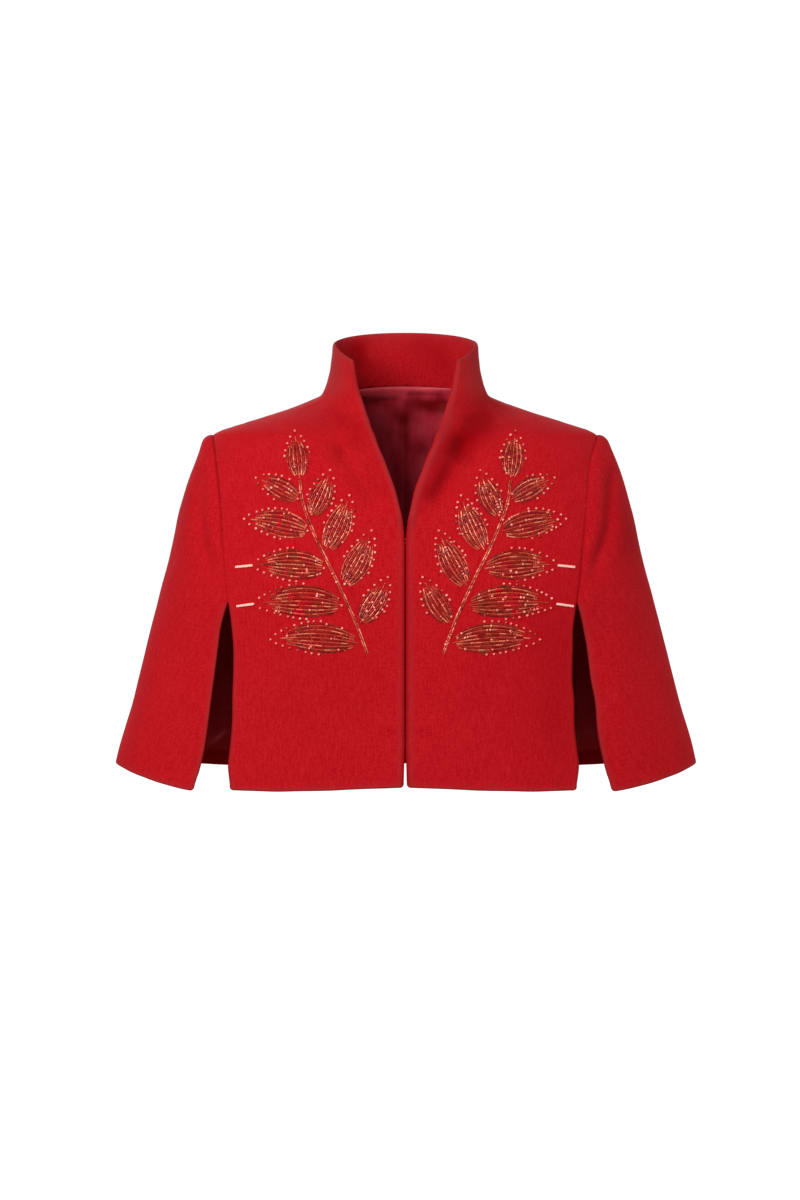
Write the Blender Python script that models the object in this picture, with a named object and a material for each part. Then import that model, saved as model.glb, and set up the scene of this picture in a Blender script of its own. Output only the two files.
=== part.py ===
# Cropped cape jacket in wool crepe: two fronts and a back with a grown-on funnel collar,
# and two cape sleeves, open in a slit in front. The hollow garment is filled out as if worn.
# +X is the wearer's left, -Y is the front, +Z is up, and the origin lies between the shoulders,
# midway down the shoulder seams. Sizes are in millimetres and become metres in the meshes.

import math
from collections import defaultdict, namedtuple

import bpy
from mathutils import Vector

MM = 0.001
WOOL_WALL = 2.4
FACING_WALL = 1.2
LINING_WALL = 1.0
SEAM_GAP = 0.3
SHARP_ANGLE = math.radians(40.0)
TILT_POWER_FRONT = 1.7
TILT_POWER_BACK = 1.1

NECK_LEVEL = 19.0
TIP_LEVEL = -19.0
SLIT_LEVEL = -189.0
HEM_LEVEL = -375.0
FRONT_HEM_DROP = 3.0
CORNER_DROP = 8.0

FRONT_COLUMNS = 16
BACK_COLUMNS = 18
SLEEVE_COLUMNS = 16
SLEEVE_TURN = math.radians(18.0)
SLEEVE_DROP_POWER = 2.3

# One row for each horizontal section of the body, named by its height at the side.
# The power makes the ring boxier. The tilts say how far the middle of the front and of the
# back lie above that height.
Section = namedtuple("Section", "level width_front width_back depth_front depth_back power tilt_front tilt_back")
SECTIONS = (
    Section(77.0, 74.8, 74.8, 73.0, 70.0, 2.3, -32.0, 17.0),
    Section(50.0, 77.6, 77.6, 76.0, 71.0, 2.3, -29.0, 18.5),
    Section(25.0, 85.0, 85.0, 82.0, 76.0, 2.25, -22.0, 19.5),
    Section(19.0, 90.0, 90.0, 84.0, 78.0, 2.2, -20.0, 19.5),
    Section(12.7, 105.0, 105.0, 87.0, 82.0, 2.1, -17.5, 17.5),
    Section(6.5, 124.0, 124.0, 90.0, 86.0, 2.0, -15.0, 15.5),
    Section(-6.3, 167.0, 167.0, 97.0, 93.0, 1.9, -10.0, 11.0),
    Section(-19.0, 200.0, 200.0, 103.0, 99.0, 1.9, -6.0, 7.0),
    Section(-32.0, 206.0, 205.0, 107.0, 104.0, 2.05, -3.0, 4.0),
    Section(-56.0, 214.0, 212.0, 112.0, 109.0, 2.25, 0.0, 0.0),
    Section(-106.0, 235.0, 226.0, 119.0, 115.0, 2.4, 0.0, 0.0),
    Section(-189.0, 255.0, 250.0, 128.0, 117.0, 2.4, 0.0, 0.0),
    Section(-375.0, 280.0, 290.0, 127.0, 122.0, 2.4, 0.0, 0.0),
)

# Heights at the side where the pieces have a row of points. Seams share these rows.
COLLAR_LEVELS = (77.0, 62.0, 47.0, 33.0, 25.0, 19.0)
SHOULDER_LEVELS = (12.7, 6.4, 0.0, -6.3, -12.6, -19.0)
ARMHOLE_LEVELS = (-23.0, -32.0, -46.0, -64.0, -86.0, -110.0, -136.0, -163.0, -189.0)
SLIT_LEVELS = (-214.0, -244.0, -276.0, -308.0, -336.0, -357.0, -375.0)
BODY_LEVELS = COLLAR_LEVELS + SHOULDER_LEVELS + ARMHOLE_LEVELS + SLIT_LEVELS
SLEEVE_LEVELS = ARMHOLE_LEVELS + SLIT_LEVELS

# The front edge: half the distance between the two edges at each height.
EdgePoint = namedtuple("EdgePoint", "height half_gap")
FRONT_EDGE = (
    EdgePoint(56.0, 52.5),
    EdgePoint(28.0, 47.5),
    EdgePoint(-1.0, 38.5),
    EdgePoint(-34.0, 26.0),
    EdgePoint(-70.0, 12.5),
    EdgePoint(-89.0, 6.6),
    EdgePoint(-110.0, 2.8),
    EdgePoint(-128.0, 1.6),
    EdgePoint(-150.0, 1.9),
    EdgePoint(-378.0, 2.0),
)

# The side of a front: the armhole seam as far as the slit, then the panel's free edge.
SidePoint = namedtuple("SidePoint", "level x")
FRONT_SIDE = (
    SidePoint(-19.0, 200.0),
    SidePoint(-31.0, 197.0),
    SidePoint(-67.0, 191.0),
    SidePoint(-93.0, 187.0),
    SidePoint(-130.0, 184.0),
    SidePoint(-176.0, 180.5),
    SidePoint(-189.0, 178.5),
    SidePoint(-208.0, 175.5),
    SidePoint(-244.0, 172.0),
    SidePoint(-290.0, 171.5),
    SidePoint(-334.0, 175.0),
    SidePoint(-356.0, 177.0),
    SidePoint(-375.0, 177.0),
)
BACK_SIDE = (
    SidePoint(-19.0, 200.0),
    SidePoint(-32.0, 195.0),
    SidePoint(-56.0, 189.0),
    SidePoint(-96.0, 184.0),
    SidePoint(-156.0, 182.0),
    SidePoint(-260.0, 186.0),
    SidePoint(-375.0, 191.0),
)

# The sleeve: its outermost point at each seam height, and below the slit its free front edge.
OuterPoint = namedtuple("OuterPoint", "level x y height")
SLEEVE_OUTER = (
    OuterPoint(-23.0, 203.5, 0.0, -19.0),
    OuterPoint(-32.0, 210.0, 0.0, -22.5),
    OuterPoint(-46.0, 216.0, 1.0, -36.0),
    OuterPoint(-64.0, 224.0, 2.0, -56.0),
    OuterPoint(-86.0, 232.0, 3.0, -80.0),
    OuterPoint(-110.0, 240.0, 4.0, -107.0),
    OuterPoint(-149.0, 250.0, 5.0, -149.0),
    OuterPoint(-189.0, 259.5, 6.0, -187.0),
    OuterPoint(-244.0, 273.5, 7.0, -240.0),
    OuterPoint(-308.0, 289.5, 8.0, -301.0),
    OuterPoint(-357.0, 301.5, 9.0, -346.0),
    OuterPoint(-375.0, 304.5, 9.0, -362.0),
)
EdgeDepth = namedtuple("EdgeDepth", "level x y")
SLEEVE_EDGE = (
    EdgeDepth(-189.0, 178.5, -98.0),
    EdgeDepth(-207.0, 183.0, -98.0),
    EdgeDepth(-238.0, 187.0, -98.0),
    EdgeDepth(-308.0, 196.5, -97.0),
    EdgeDepth(-349.0, 203.0, -95.0),
    EdgeDepth(-375.0, 210.0, -93.0),
)

# Soft folds, as lines in the front view, with how far the cloth is pushed out there.
Fold = namedtuple("Fold", "from_x from_z to_x to_z reach push")
FRONT_FOLDS = (
    Fold(52.0, 26.0, 24.0, -34.0, 14.0, 5.0),
    Fold(24.0, -34.0, 2.0, -100.0, 10.0, 4.5),
    Fold(92.0, 8.0, 62.0, -34.0, 18.0, -9.5),
    Fold(60.0, -38.0, 34.0, -84.0, 12.0, -7.5),
    Fold(92.0, -175.0, 92.0, -215.0, 52.0, 5.0),
)
SLEEVE_FOLDS = (
    Fold(213.0, -62.0, 207.0, -113.0, 8.0, -3.5),
    Fold(206.0, -118.0, 188.0, -165.0, 8.0, -3.5),
    Fold(196.0, -70.0, 192.0, -130.0, 9.0, 1.5),
)

# The hook and the eye are thread-covered wires behind the front edges. The bend and the loop
# are places across the gap between the edges.
HOOK_HEIGHT = -128.0
HOOK_WIRE = 0.5
HOOK_REACH = 9.0
HOOK_FOOT = 1.0
HOOK_SPREAD = 3.0
HOOK_SEAT = 0.5
HOOK_CREST = 2.0
HOOK_BEND = (3.4, 2.4, -1.0, -1.6)
EYE_LOOP = (-3.0, 0.4, 1.2)
EYE_TAPER = 0.7

# How far each border of a piece stands back from the seam line, in halves of the seam's gap.
Borders = namedtuple("Borders", "top bottom start end")
PLAIN_BORDERS = Borders(1, 1, 1, 1)
SLEEVE_BORDERS = Borders(4, 1, 1, 1)
COLLAR_FACING_BORDERS = Borders(8, 1, 8, 8)
HEM_FACING_BORDERS = Borders(1, 8, 1, 1)
SLEEVE_LINING_BORDERS = Borders(1, 12, 8, 1)

# How many columns the folds take to fade in from a seam, and how fast the sleeve's free edge
# turns away from the armhole seam below the slit's top.
FRONT_CALM = 5.0
SLEEVE_CALM = 2.0
SLIT_EASE = 6.0

# The search for where the front edge crosses a row: its first x, its steps and their size.
EDGE_START = 20.0
EDGE_STEPS = 30
EDGE_STEP_SHARE = 0.7


def mix(a, b, share):
    return a + (b - a) * share


def read_table(table, column, key):
    """A smooth value from a table whose first column falls from row to row."""
    keys = [-row[0] for row in table]
    values = [getattr(row, column) for row in table]
    last = len(table) - 1
    key = min(max(-key, keys[0]), keys[last])
    span = 0
    while span < last - 1 and key > keys[span + 1]:
        span += 1
    slopes = [(values[i + 1] - values[i]) / (keys[i + 1] - keys[i]) for i in range(last)]

    def tangent(i):
        if i == 0 or i == last:
            return slopes[min(i, last - 1)]
        before, after = slopes[i - 1], slopes[i]
        return 0.0 if before * after <= 0.0 else 2.0 * before * after / (before + after)

    width = keys[span + 1] - keys[span]
    t = (key - keys[span]) / width
    return (
        values[span] * (1 + 2 * t) * (1 - t) ** 2
        + tangent(span) * width * t * (1 - t) ** 2
        + values[span + 1] * t * t * (3 - 2 * t)
        + tangent(span + 1) * width * t * t * (t - 1)
    )


def hem_share(level):
    """0 down to the top of the slit, 1 at the hem."""
    return max(0.0, (SLIT_LEVEL - level) / (SLIT_LEVEL - HEM_LEVEL))


def ring_depth_share(level, x, width):
    power = read_table(SECTIONS, "power", level)
    return (1.0 - min(abs(x) / width, 1.0) ** power) ** (1.0 / power)


def front_point(level, x):
    share = ring_depth_share(level, x, read_table(SECTIONS, "width_front", level))
    y = -read_table(SECTIONS, "depth_front", level) * share
    tilt = read_table(SECTIONS, "tilt_front", level)
    return Vector((x, y, level + tilt * share**TILT_POWER_FRONT - FRONT_HEM_DROP * hem_share(level)))


def back_point(level, x):
    share = ring_depth_share(level, x, read_table(SECTIONS, "width_back", level))
    y = read_table(SECTIONS, "depth_back", level) * share
    return Vector((x, y, level + read_table(SECTIONS, "tilt_back", level) * share**TILT_POWER_BACK))


def edge_x(level):
    """Where the front edge crosses a row, whose height there depends on x."""
    x = EDGE_START
    for _ in range(EDGE_STEPS):
        half_gap = read_table(FRONT_EDGE, "half_gap", front_point(level, x).z)
        x = mix(x, half_gap, EDGE_STEP_SHARE)
    return x


def side_x(table, column, level):
    if level > TIP_LEVEL:
        return read_table(SECTIONS, column, level)
    return read_table(table, "x", level)


def even_turns(level, x_from, x_to, width, columns):
    """Values of x spaced evenly by angle round a section."""
    power = read_table(SECTIONS, "power", level)
    turns = [math.asin(min(x / width, 1.0) ** (power / 2.0)) for x in (x_from, x_to)]
    steps = [mix(turns[0], turns[1], j / columns) for j in range(columns + 1)]
    return [width * math.sin(turn) ** (2.0 / power) for turn in steps]


def fold_push(folds, point):
    """How far the folds push a point, by its distance from each line in the front view."""
    push = 0.0
    for fold in folds:
        start = Vector((fold.from_x, fold.from_z))
        run = Vector((fold.to_x, fold.to_z)) - start
        away = Vector((point.x, point.z)) - start
        along = min(max(away.dot(run) / run.length_squared, 0.0), 1.0)
        push += fold.push * math.exp(-((away - run * along).length / fold.reach) ** 2)
    return push


def front_grid():
    rows = []
    for level in BODY_LEVELS:
        width = read_table(SECTIONS, "width_front", level)
        far_x = side_x(FRONT_SIDE, "width_front", level)
        row = [front_point(level, x) for x in even_turns(level, edge_x(level), far_x, width, FRONT_COLUMNS)]
        for j, point in enumerate(row[:-1]):
            calm = min(1.0, (FRONT_COLUMNS - j) / FRONT_CALM)
            point.y -= fold_push(FRONT_FOLDS, point) * calm
        rows.append(row)
    return rows


def back_grid():
    rows = []
    for level in BODY_LEVELS:
        width = read_table(SECTIONS, "width_back", level)
        far_x = side_x(BACK_SIDE, "width_back", level)
        half = [back_point(level, x) for x in even_turns(level, 0.0, far_x, width, BACK_COLUMNS // 2)]
        rows.append([Vector((-p.x, p.y, p.z)) for p in reversed(half[1:])] + half)
    return rows


def sleeve_quarter(seam, outer, columns):
    """Points from a seam to the sleeve's outermost point, round a quarter of a ring."""
    start_sin = math.sin(SLEEVE_TURN)
    start_cos = math.cos(SLEEVE_TURN)
    points = []
    for j in range(columns + 1):
        turn = mix(SLEEVE_TURN, math.pi / 2.0, j / columns)
        out = (math.sin(turn) - start_sin) / (1.0 - start_sin)
        back = math.cos(turn) / start_cos
        drop = back**SLEEVE_DROP_POWER
        points.append(Vector((mix(seam.x, outer.x, out), mix(outer.y, seam.y, back), mix(outer.z, seam.z, drop))))
    return points


def sleeve_grid(front_rows, back_rows):
    rows = []
    half = SLEEVE_COLUMNS // 2
    tip_row = BODY_LEVELS.index(TIP_LEVEL)
    tip = back_rows[tip_row][-1]
    first_row = BODY_LEVELS.index(SLEEVE_LEVELS[0])
    ends = (front_rows[first_row][-1], back_rows[first_row][-1])
    rows.append(
        [ends[0].lerp(tip, j / half) for j in range(half)]
        + [tip.lerp(ends[1], j / half) for j in range(half + 1)]
    )
    for level in SLEEVE_LEVELS[1:]:
        row = BODY_LEVELS.index(level)
        outer = Vector([read_table(SLEEVE_OUTER, name, level) for name in ("x", "y", "height")])
        if level >= SLIT_LEVEL:
            seam = front_rows[row][-1]
        else:
            across = [read_table(SLEEVE_EDGE, name, level) for name in ("x", "y")]
            start = front_rows[BODY_LEVELS.index(SLIT_LEVEL)][-1]
            ease = min(1.0, hem_share(level) * SLIT_EASE)
            across[1] = mix(start.y, across[1], ease)
            seam = Vector((across[0], across[1], level - CORNER_DROP * hem_share(level)))
        front = sleeve_quarter(seam, outer, half)
        back = sleeve_quarter(back_rows[row][-1], outer, half)
        points = front + list(reversed(back[:-1]))
        for j, point in enumerate(points[1:half], start=1):
            point.y -= fold_push(SLEEVE_FOLDS, point) * min(1.0, j / SLEEVE_CALM)
        rows.append(points)
    return rows


def mirrored(rows):
    return [[Vector((-p.x, p.y, p.z)) for p in row] for row in rows]


def quad_normal(rows, i, j):
    return (rows[i + 1][j + 1] - rows[i][j]).cross(rows[i + 1][j] - rows[i][j + 1])


def place_key(point):
    return tuple(round(value, 2) for value in point)


def shared_normals(panels):
    """Outward normals, summed over all panels that meet at a point, so seams match."""
    total = defaultdict(Vector)
    for rows, flip in panels:
        for i in range(len(rows) - 1):
            for j in range(len(rows[0]) - 1):
                normal = quad_normal(rows, i, j) * flip
                for point in (rows[i][j], rows[i + 1][j], rows[i][j + 1], rows[i + 1][j + 1]):
                    total[place_key(point)] += normal
    return {key: value.normalized() for key, value in total.items()}


def drawn_in(rows, normals, top, bottom, start, end):
    """The grid with each border moved in along the cloth by the distance given for it."""
    last_row, last_column = len(rows) - 1, len(rows[0]) - 1
    result = []
    for i, row in enumerate(rows):
        new_row = []
        for j, point in enumerate(row):
            normal = normals[place_key(point)]
            down = rows[min(i + 1, last_row)][j] - rows[max(i - 1, 0)][j]
            across = row[min(j + 1, last_column)] - row[max(j - 1, 0)]
            moved = point.copy()
            for here, distance, along, tangent in (
                (i == 0, top, down, across),
                (i == last_row, -bottom, down, across),
                (j == 0, start, across, down),
                (j == last_column, -end, across, down),
            ):
                if here:
                    side = normal.cross(tangent).normalized()
                    moved += side * math.copysign(distance, distance * side.dot(along))
            new_row.append(moved)
        result.append(new_row)
    return result


def make_material(name, color, roughness):
    material = bpy.data.materials.new(name)
    material.use_nodes = True
    shader = material.node_tree.nodes["Principled BSDF"]
    shader.inputs["Base Color"].default_value = (*color, 1.0)
    shader.inputs["Roughness"].default_value = roughness
    shader.inputs["Metallic"].default_value = 0.0
    material.diffuse_color = (*color, 1.0)
    return material


def add_object(name, data, material):
    data.materials.append(material)
    item = bpy.data.objects.new(name, data)
    bpy.context.scene.collection.objects.link(item)
    return item


def cloth_piece(name, rows, normals, flip, middle, wall, material, borders=PLAIN_BORDERS):
    """A closed wall on a grid of points, its middle moved in from the cloth by a distance."""
    placed = drawn_in(rows, normals, *(SEAM_GAP / 2.0 * border for border in borders))
    height, width = len(rows), len(rows[0])
    vertices = []
    for shift in (wall / 2.0 - middle, -wall / 2.0 - middle):
        for row, new_row in zip(rows, placed):
            for point, new_point in zip(row, new_row):
                vertices.append((new_point + normals[place_key(point)] * shift) * MM)
    under = height * width

    def at(i, j):
        return i * width + j

    faces = []
    for i in range(height - 1):
        for j in range(width - 1):
            outside = (at(i, j), at(i, j + 1), at(i + 1, j + 1), at(i + 1, j))
            faces.append(outside)
            faces.append(tuple(under + k for k in (outside[0], outside[3], outside[2], outside[1])))
    border = [at(0, j) for j in range(width)]
    border += [at(i, width - 1) for i in range(1, height)]
    border += [at(height - 1, j) for j in range(width - 2, -1, -1)]
    border += [at(i, 0) for i in range(height - 2, 0, -1)]
    for here, after in zip(border, border[1:] + border[:1]):
        faces.append((after, here, under + here, under + after))
    if flip < 0:
        faces = [tuple(reversed(face)) for face in faces]
    mesh = bpy.data.meshes.new(name)
    mesh.from_pydata(vertices, [], faces)
    mesh.shade_smooth()
    mesh.set_sharp_from_angle(angle=SHARP_ANGLE)
    return add_object(name, mesh, material)


def wire_piece(name, points, closed, material):
    """A bent wire through a few points, a closed loop or with its two ends capped."""
    curve = bpy.data.curves.new(name, "CURVE")
    curve.dimensions = "3D"
    curve.bevel_depth = HOOK_WIRE * MM
    curve.bevel_resolution = 1
    curve.use_fill_caps = not closed
    spline = curve.splines.new("POLY")
    spline.points.add(len(points) - 1)
    for knot, point in zip(spline.points, points):
        knot.co = (*(Vector(point) * MM), 1.0)
    spline.use_cyclic_u = closed
    return add_object(name, curve, material)


def behind_front(x, height):
    """The y of a wire that lies on the inner side of a front."""
    point = front_point(height, abs(x))
    return point.y - fold_push(FRONT_FOLDS, point) + WOOL_WALL / 2.0 + HOOK_WIRE + HOOK_SEAT


def seated(x, height):
    return Vector((x, behind_front(x, height), height))


def hook_route():
    """From its foot on the left front, over the eye's loop and down on to the right front."""
    shank, rise, fall, tip = HOOK_BEND
    crest = behind_front(0.0, HOOK_HEIGHT) + HOOK_CREST
    return [
        seated(HOOK_REACH, HOOK_HEIGHT - HOOK_SPREAD),
        seated(HOOK_REACH - HOOK_FOOT, HOOK_HEIGHT),
        seated(shank, HOOK_HEIGHT),
        Vector((rise, crest, HOOK_HEIGHT)),
        Vector((fall, crest, HOOK_HEIGHT)),
        seated(tip, HOOK_HEIGHT),
    ]


def eye_route():
    """A loop that reaches past the right front's edge, with both ends on that front."""
    neck, shoulder, crown = EYE_LOOP
    upper = [
        seated(-HOOK_REACH, HOOK_HEIGHT + HOOK_SPREAD),
        seated(neck, HOOK_HEIGHT + HOOK_SPREAD),
        seated(shoulder, HOOK_HEIGHT + HOOK_SPREAD * EYE_TAPER),
    ]
    lower = [
        seated(shoulder, HOOK_HEIGHT - HOOK_SPREAD * EYE_TAPER),
        seated(neck, HOOK_HEIGHT - HOOK_SPREAD),
        seated(-HOOK_REACH, HOOK_HEIGHT - HOOK_SPREAD),
    ]
    return upper + [seated(crown, HOOK_HEIGHT)] + lower


def sew_cape():
    wool = make_material("wool_crepe", (0.50, 0.010, 0.016), 0.85)
    wool_inside = make_material("wool_facing", (0.42, 0.009, 0.014), 0.85)
    satin = make_material("satin_lining", (0.10, 0.004, 0.008), 0.32)
    wound_wire = make_material("wound_wire", (0.34, 0.020, 0.028), 0.60)

    front = front_grid()
    back = back_grid()
    sleeve = sleeve_grid(front, back)
    panels = {
        "front_left": (front, -1),
        "front_right": (mirrored(front), 1),
        "back": (back, 1),
        "sleeve_left": (sleeve, -1),
        "sleeve_right": (mirrored(sleeve), 1),
    }
    normals = shared_normals(panels.values())
    for name, (rows, flip) in panels.items():
        borders = SLEEVE_BORDERS if name.startswith("sleeve") else PLAIN_BORDERS
        cloth_piece(name, rows, normals, flip, 0.0, WOOL_WALL, wool, borders)

    neck_row = BODY_LEVELS.index(NECK_LEVEL)
    collar = [
        panels["front_right"][0][i][:-1] + back[i] + list(reversed(front[i][:-1])) for i in range(neck_row + 1)
    ]
    facing_depth = (WOOL_WALL + FACING_WALL) / 2.0 + SEAM_GAP
    lining_depth = (WOOL_WALL + LINING_WALL) / 2.0 + SEAM_GAP
    cloth_piece(
        "collar_facing", collar, normals, 1, facing_depth, FACING_WALL, wool_inside, COLLAR_FACING_BORDERS
    )
    cloth_piece("lining_back", back[neck_row:-1], normals, 1, lining_depth, LINING_WALL, satin)
    cloth_piece(
        "hem_facing_back", back[-2:], normals, 1, lining_depth, LINING_WALL, wool_inside, HEM_FACING_BORDERS
    )
    for name in ("sleeve_left", "sleeve_right"):
        rows, flip = panels[name]
        lining = "lining_" + name
        cloth_piece(lining, rows[1:], normals, flip, lining_depth, LINING_WALL, satin, SLEEVE_LINING_BORDERS)
    wire_piece("front_hook", hook_route(), False, wound_wire)
    wire_piece("front_eye", eye_route(), False, wound_wire)


for old in list(bpy.data.objects):
    bpy.data.objects.remove(old)
sew_cape()
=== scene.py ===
import math

import bpy
import numpy as np
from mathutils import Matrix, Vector
from mathutils.bvhtree import BVHTree


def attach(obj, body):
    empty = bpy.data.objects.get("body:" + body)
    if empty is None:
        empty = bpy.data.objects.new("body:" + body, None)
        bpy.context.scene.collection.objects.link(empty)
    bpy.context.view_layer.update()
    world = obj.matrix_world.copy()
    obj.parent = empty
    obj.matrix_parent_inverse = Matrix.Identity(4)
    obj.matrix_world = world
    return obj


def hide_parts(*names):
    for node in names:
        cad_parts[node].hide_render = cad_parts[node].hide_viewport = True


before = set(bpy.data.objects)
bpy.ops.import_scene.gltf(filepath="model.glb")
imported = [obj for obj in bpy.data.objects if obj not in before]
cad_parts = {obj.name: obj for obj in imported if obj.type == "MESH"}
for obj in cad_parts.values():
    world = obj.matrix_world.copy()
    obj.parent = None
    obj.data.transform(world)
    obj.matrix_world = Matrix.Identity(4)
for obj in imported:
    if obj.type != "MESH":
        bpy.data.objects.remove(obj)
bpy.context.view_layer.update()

# The cape jacket's looks. Sizes are in millimetres and become metres in the meshes.
# +X is the wearer's left, -Y the front, and left and right in names are the wearer's.
mm = 0.001

# camera and light

cameraSetup = {
    "frameHeight": 1200,  # pixels of the photograph
    "frameWidth": 800,
    "focalPixels": 2476,  # focal length in those pixels
    "sensor": 36.0,
    "distance": 2.6,  # m from the shoulders
    "height": -0.106,  # m, level with the foot of the V
    "levelRow": 519,  # the pixel row at the camera's own height
    "middleColumn": 405,  # the pixel column of the garment's middle
}


def placed(name, data):
    item = bpy.data.objects.new(name, data)
    bpy.context.scene.collection.objects.link(item)
    return item


def setCamera(setup):
    data = bpy.data.cameras.new("photoCamera")
    camera = placed("photoCamera", data)
    data.sensor_width = setup["sensor"]
    data.lens = setup["focalPixels"] / setup["frameHeight"] * setup["sensor"]
    aside = (setup["frameWidth"] / 2 - setup["middleColumn"]) / setup["focalPixels"] * setup["distance"]
    camera.location = (aside, -setup["distance"], setup["height"])
    dip = math.atan2(setup["frameHeight"] / 2 - setup["levelRow"], setup["focalPixels"])
    camera.rotation_euler = (math.pi / 2 - dip, 0, 0)
    bpy.context.scene.camera = camera


lightSetup = {
    # the white surround: how bright it is at each height of the view's direction, from -1 to 1
    "surround": ((-0.45, 0.09), (-0.04, 1.04), (0.30, 1.04), (0.75, 0.55)),
    "floorHeight": -1.43,  # m: the shoulders are held as high as a standing wearer's
    "floorRadius": 30.0,
    "floorSides": 96,
    "floorColour": (0.80, 0.80, 0.795),
    "floorRoughness": 0.9,
    "floorSpecular": 0.2,
    "floorGlow": 0.55,
    "aim": (0.0, 0.0, -0.15),
    # name, place in m, size in m, watts
    "lamps": (
        ("softKey", (-0.8, -1.8, 0.5), 1.0, 38.0),
        ("sideFill", (1.9, -0.7, -0.1), 0.9, 7.5),
        ("backLight", (-0.9, 2.4, 1.2), 1.6, 30.0),
    ),
}


def setLights(setup):
    scene = bpy.context.scene
    world = bpy.data.worlds.new("paleStudio")
    scene.world = world
    world.use_nodes = True
    tree = world.node_tree
    direction = tree.nodes.new("ShaderNodeTexCoord")
    parts = tree.nodes.new("ShaderNodeSeparateXYZ")
    height = tree.nodes.new("ShaderNodeMapRange")
    height.inputs["From Min"].default_value = -1
    curve = tree.nodes.new("ShaderNodeValToRGB")
    curve.color_ramp.interpolation = "EASE"
    stops = curve.color_ramp.elements
    while len(stops) < len(setup["surround"]):
        stops.new(0.5)
    for stop, (place, strength) in zip(stops, setup["surround"]):
        stop.position = (place + 1) / 2
        stop.color = (strength, strength, strength, 1)
    tree.links.new(direction.outputs["Generated"], parts.inputs[0])
    tree.links.new(parts.outputs["Z"], height.inputs["Value"])
    tree.links.new(height.outputs[0], curve.inputs[0])
    tree.links.new(curve.outputs[0], tree.nodes["Background"].inputs["Color"])
    for name, place, size, watts in setup["lamps"]:
        data = bpy.data.lights.new(name, "AREA")
        data.shape = "DISK"
        data.size = size
        data.energy = watts
        lamp = placed(name, data)
        lamp.location = place
        lamp.rotation_euler = (Vector(setup["aim"]) - Vector(place)).to_track_quat("-Z", "Y").to_euler()
    scene.view_settings.view_transform = "Standard"


def layFloor(setup):
    sides, radius = setup["floorSides"], setup["floorRadius"]
    turns = [2 * math.pi * k / sides for k in range(sides)]
    ring = [(radius * math.cos(turn), radius * math.sin(turn), setup["floorHeight"]) for turn in turns]
    mesh = bpy.data.meshes.new("paleFloor")
    mesh.from_pydata(ring, [], [tuple(range(sides))])
    paper = newMaterial("floorPaper", setup["floorColour"], setup["floorRoughness"], setup["floorSpecular"])
    shader = paper.node_tree.nodes["Principled BSDF"]
    shader.inputs["Emission Color"].default_value = (1, 1, 1, 1)
    shader.inputs["Emission Strength"].default_value = setup["floorGlow"]
    floor = makeObject("paleFloor", mesh, paper)
    floor.visible_diffuse = False  # the floor is far below, so it throws no light up into the cloth
    floor.visible_glossy = False


# materials


def newMaterial(name, colour, roughness, specular):
    material = bpy.data.materials.new(name)
    material.use_nodes = True
    shader = material.node_tree.nodes["Principled BSDF"]
    shader.inputs["Base Color"].default_value = (*colour, 1)
    shader.inputs["Roughness"].default_value = roughness
    shader.inputs["Specular IOR Level"].default_value = specular
    material.diffuse_color = (*colour, 1)
    return material


class Nodes:
    # a short hand for a material's node tree
    def __init__(self, material):
        self.tree = material.node_tree
        self.shader = self.tree.nodes["Principled BSDF"]

    def add(self, kind, settings=None, **inputs):
        # an input is named by its socket, or by i and the socket's number
        node = self.tree.nodes.new("ShaderNode" + kind)
        for name, value in (settings or {}).items():
            setattr(node, name, value)
        for name, value in inputs.items():
            isNumber = name[0] == "i" and name[1:].isdigit()
            self.plug(node.inputs[int(name[1:]) if isNumber else name], value)
        return node

    def plug(self, socket, value):
        if isinstance(value, bpy.types.NodeSocket):
            self.tree.links.new(value, socket)
        else:
            socket.default_value = value

    def set(self, **values):
        for name, value in values.items():
            self.shader.inputs[name.replace("_", " ")].default_value = value

    def cloth(self):
        # the cloth's own coordinates in metres: across the panel and down its grain
        return self.add("Attribute", {"attribute_name": "grain"}).outputs["Vector"]

    def mark(self, name):
        # how strongly a point of the cloth takes its worn nap and painted sheen, or its painted shade, from 0
        # to 1
        return self.add("Attribute", {"attribute_name": name}).outputs["Fac"]

    def stretched(self, vector, across, down):
        return self.add("Mapping", Vector=vector, Scale=(across, down, 1.0)).outputs[0]

    def noise(self, vector, size, roughness=0.5):
        # clouds of a size in millimetres
        node = self.add("TexNoise", Vector=vector, Scale=1 / (size * mm), Detail=2.0, Roughness=roughness)
        return node.outputs["Fac"]

    def maths(self, operation, a, b):
        return self.add("Math", {"operation": operation}, i0=a, i1=b).outputs[0]

    def total(self, values, shares):
        # the sum of some values, each with its share
        parts = [self.maths("MULTIPLY", value, share) for value, share in zip(values, shares)]
        result = parts[0]
        for part in parts[1:]:
            result = self.maths("ADD", result, part)
        return result

    def mixed(self, factor, a, b):
        return self.add("Mix", {"data_type": "RGBA"}, i0=factor, i6=a, i7=b).outputs[2]

    def ramp(self, factor, low, high, start=0.0, end=1.0):
        limits = {"From Min": start, "From Max": end, "To Min": low, "To Max": high}
        return self.add("MapRange", {"interpolation_type": "SMOOTHSTEP"}, Value=factor, **limits).outputs[0]

    def bump(self, height, strength, distance, before=None):
        # distance in millimetres
        node = self.add("Bump", Strength=strength, Distance=distance * mm, Height=height)
        if before is not None:
            self.plug(node.inputs["Normal"], before)
        return node.outputs[0]

    def finish(self, colour, roughness, normal):
        for name, value in (("Base Color", colour), ("Roughness", roughness), ("Normal", normal)):
            self.plug(self.shader.inputs[name], value)


def newCloth(name, colour, look):
    material = newMaterial(name, colour, look["roughness"], look["specular"])
    n = Nodes(material)
    n.set(Sheen_Weight=look["sheen"], Sheen_Roughness=look["sheenRoughness"])
    n.set(Sheen_Tint=(*look["sheenTint"], 1))
    return material, n


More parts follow.
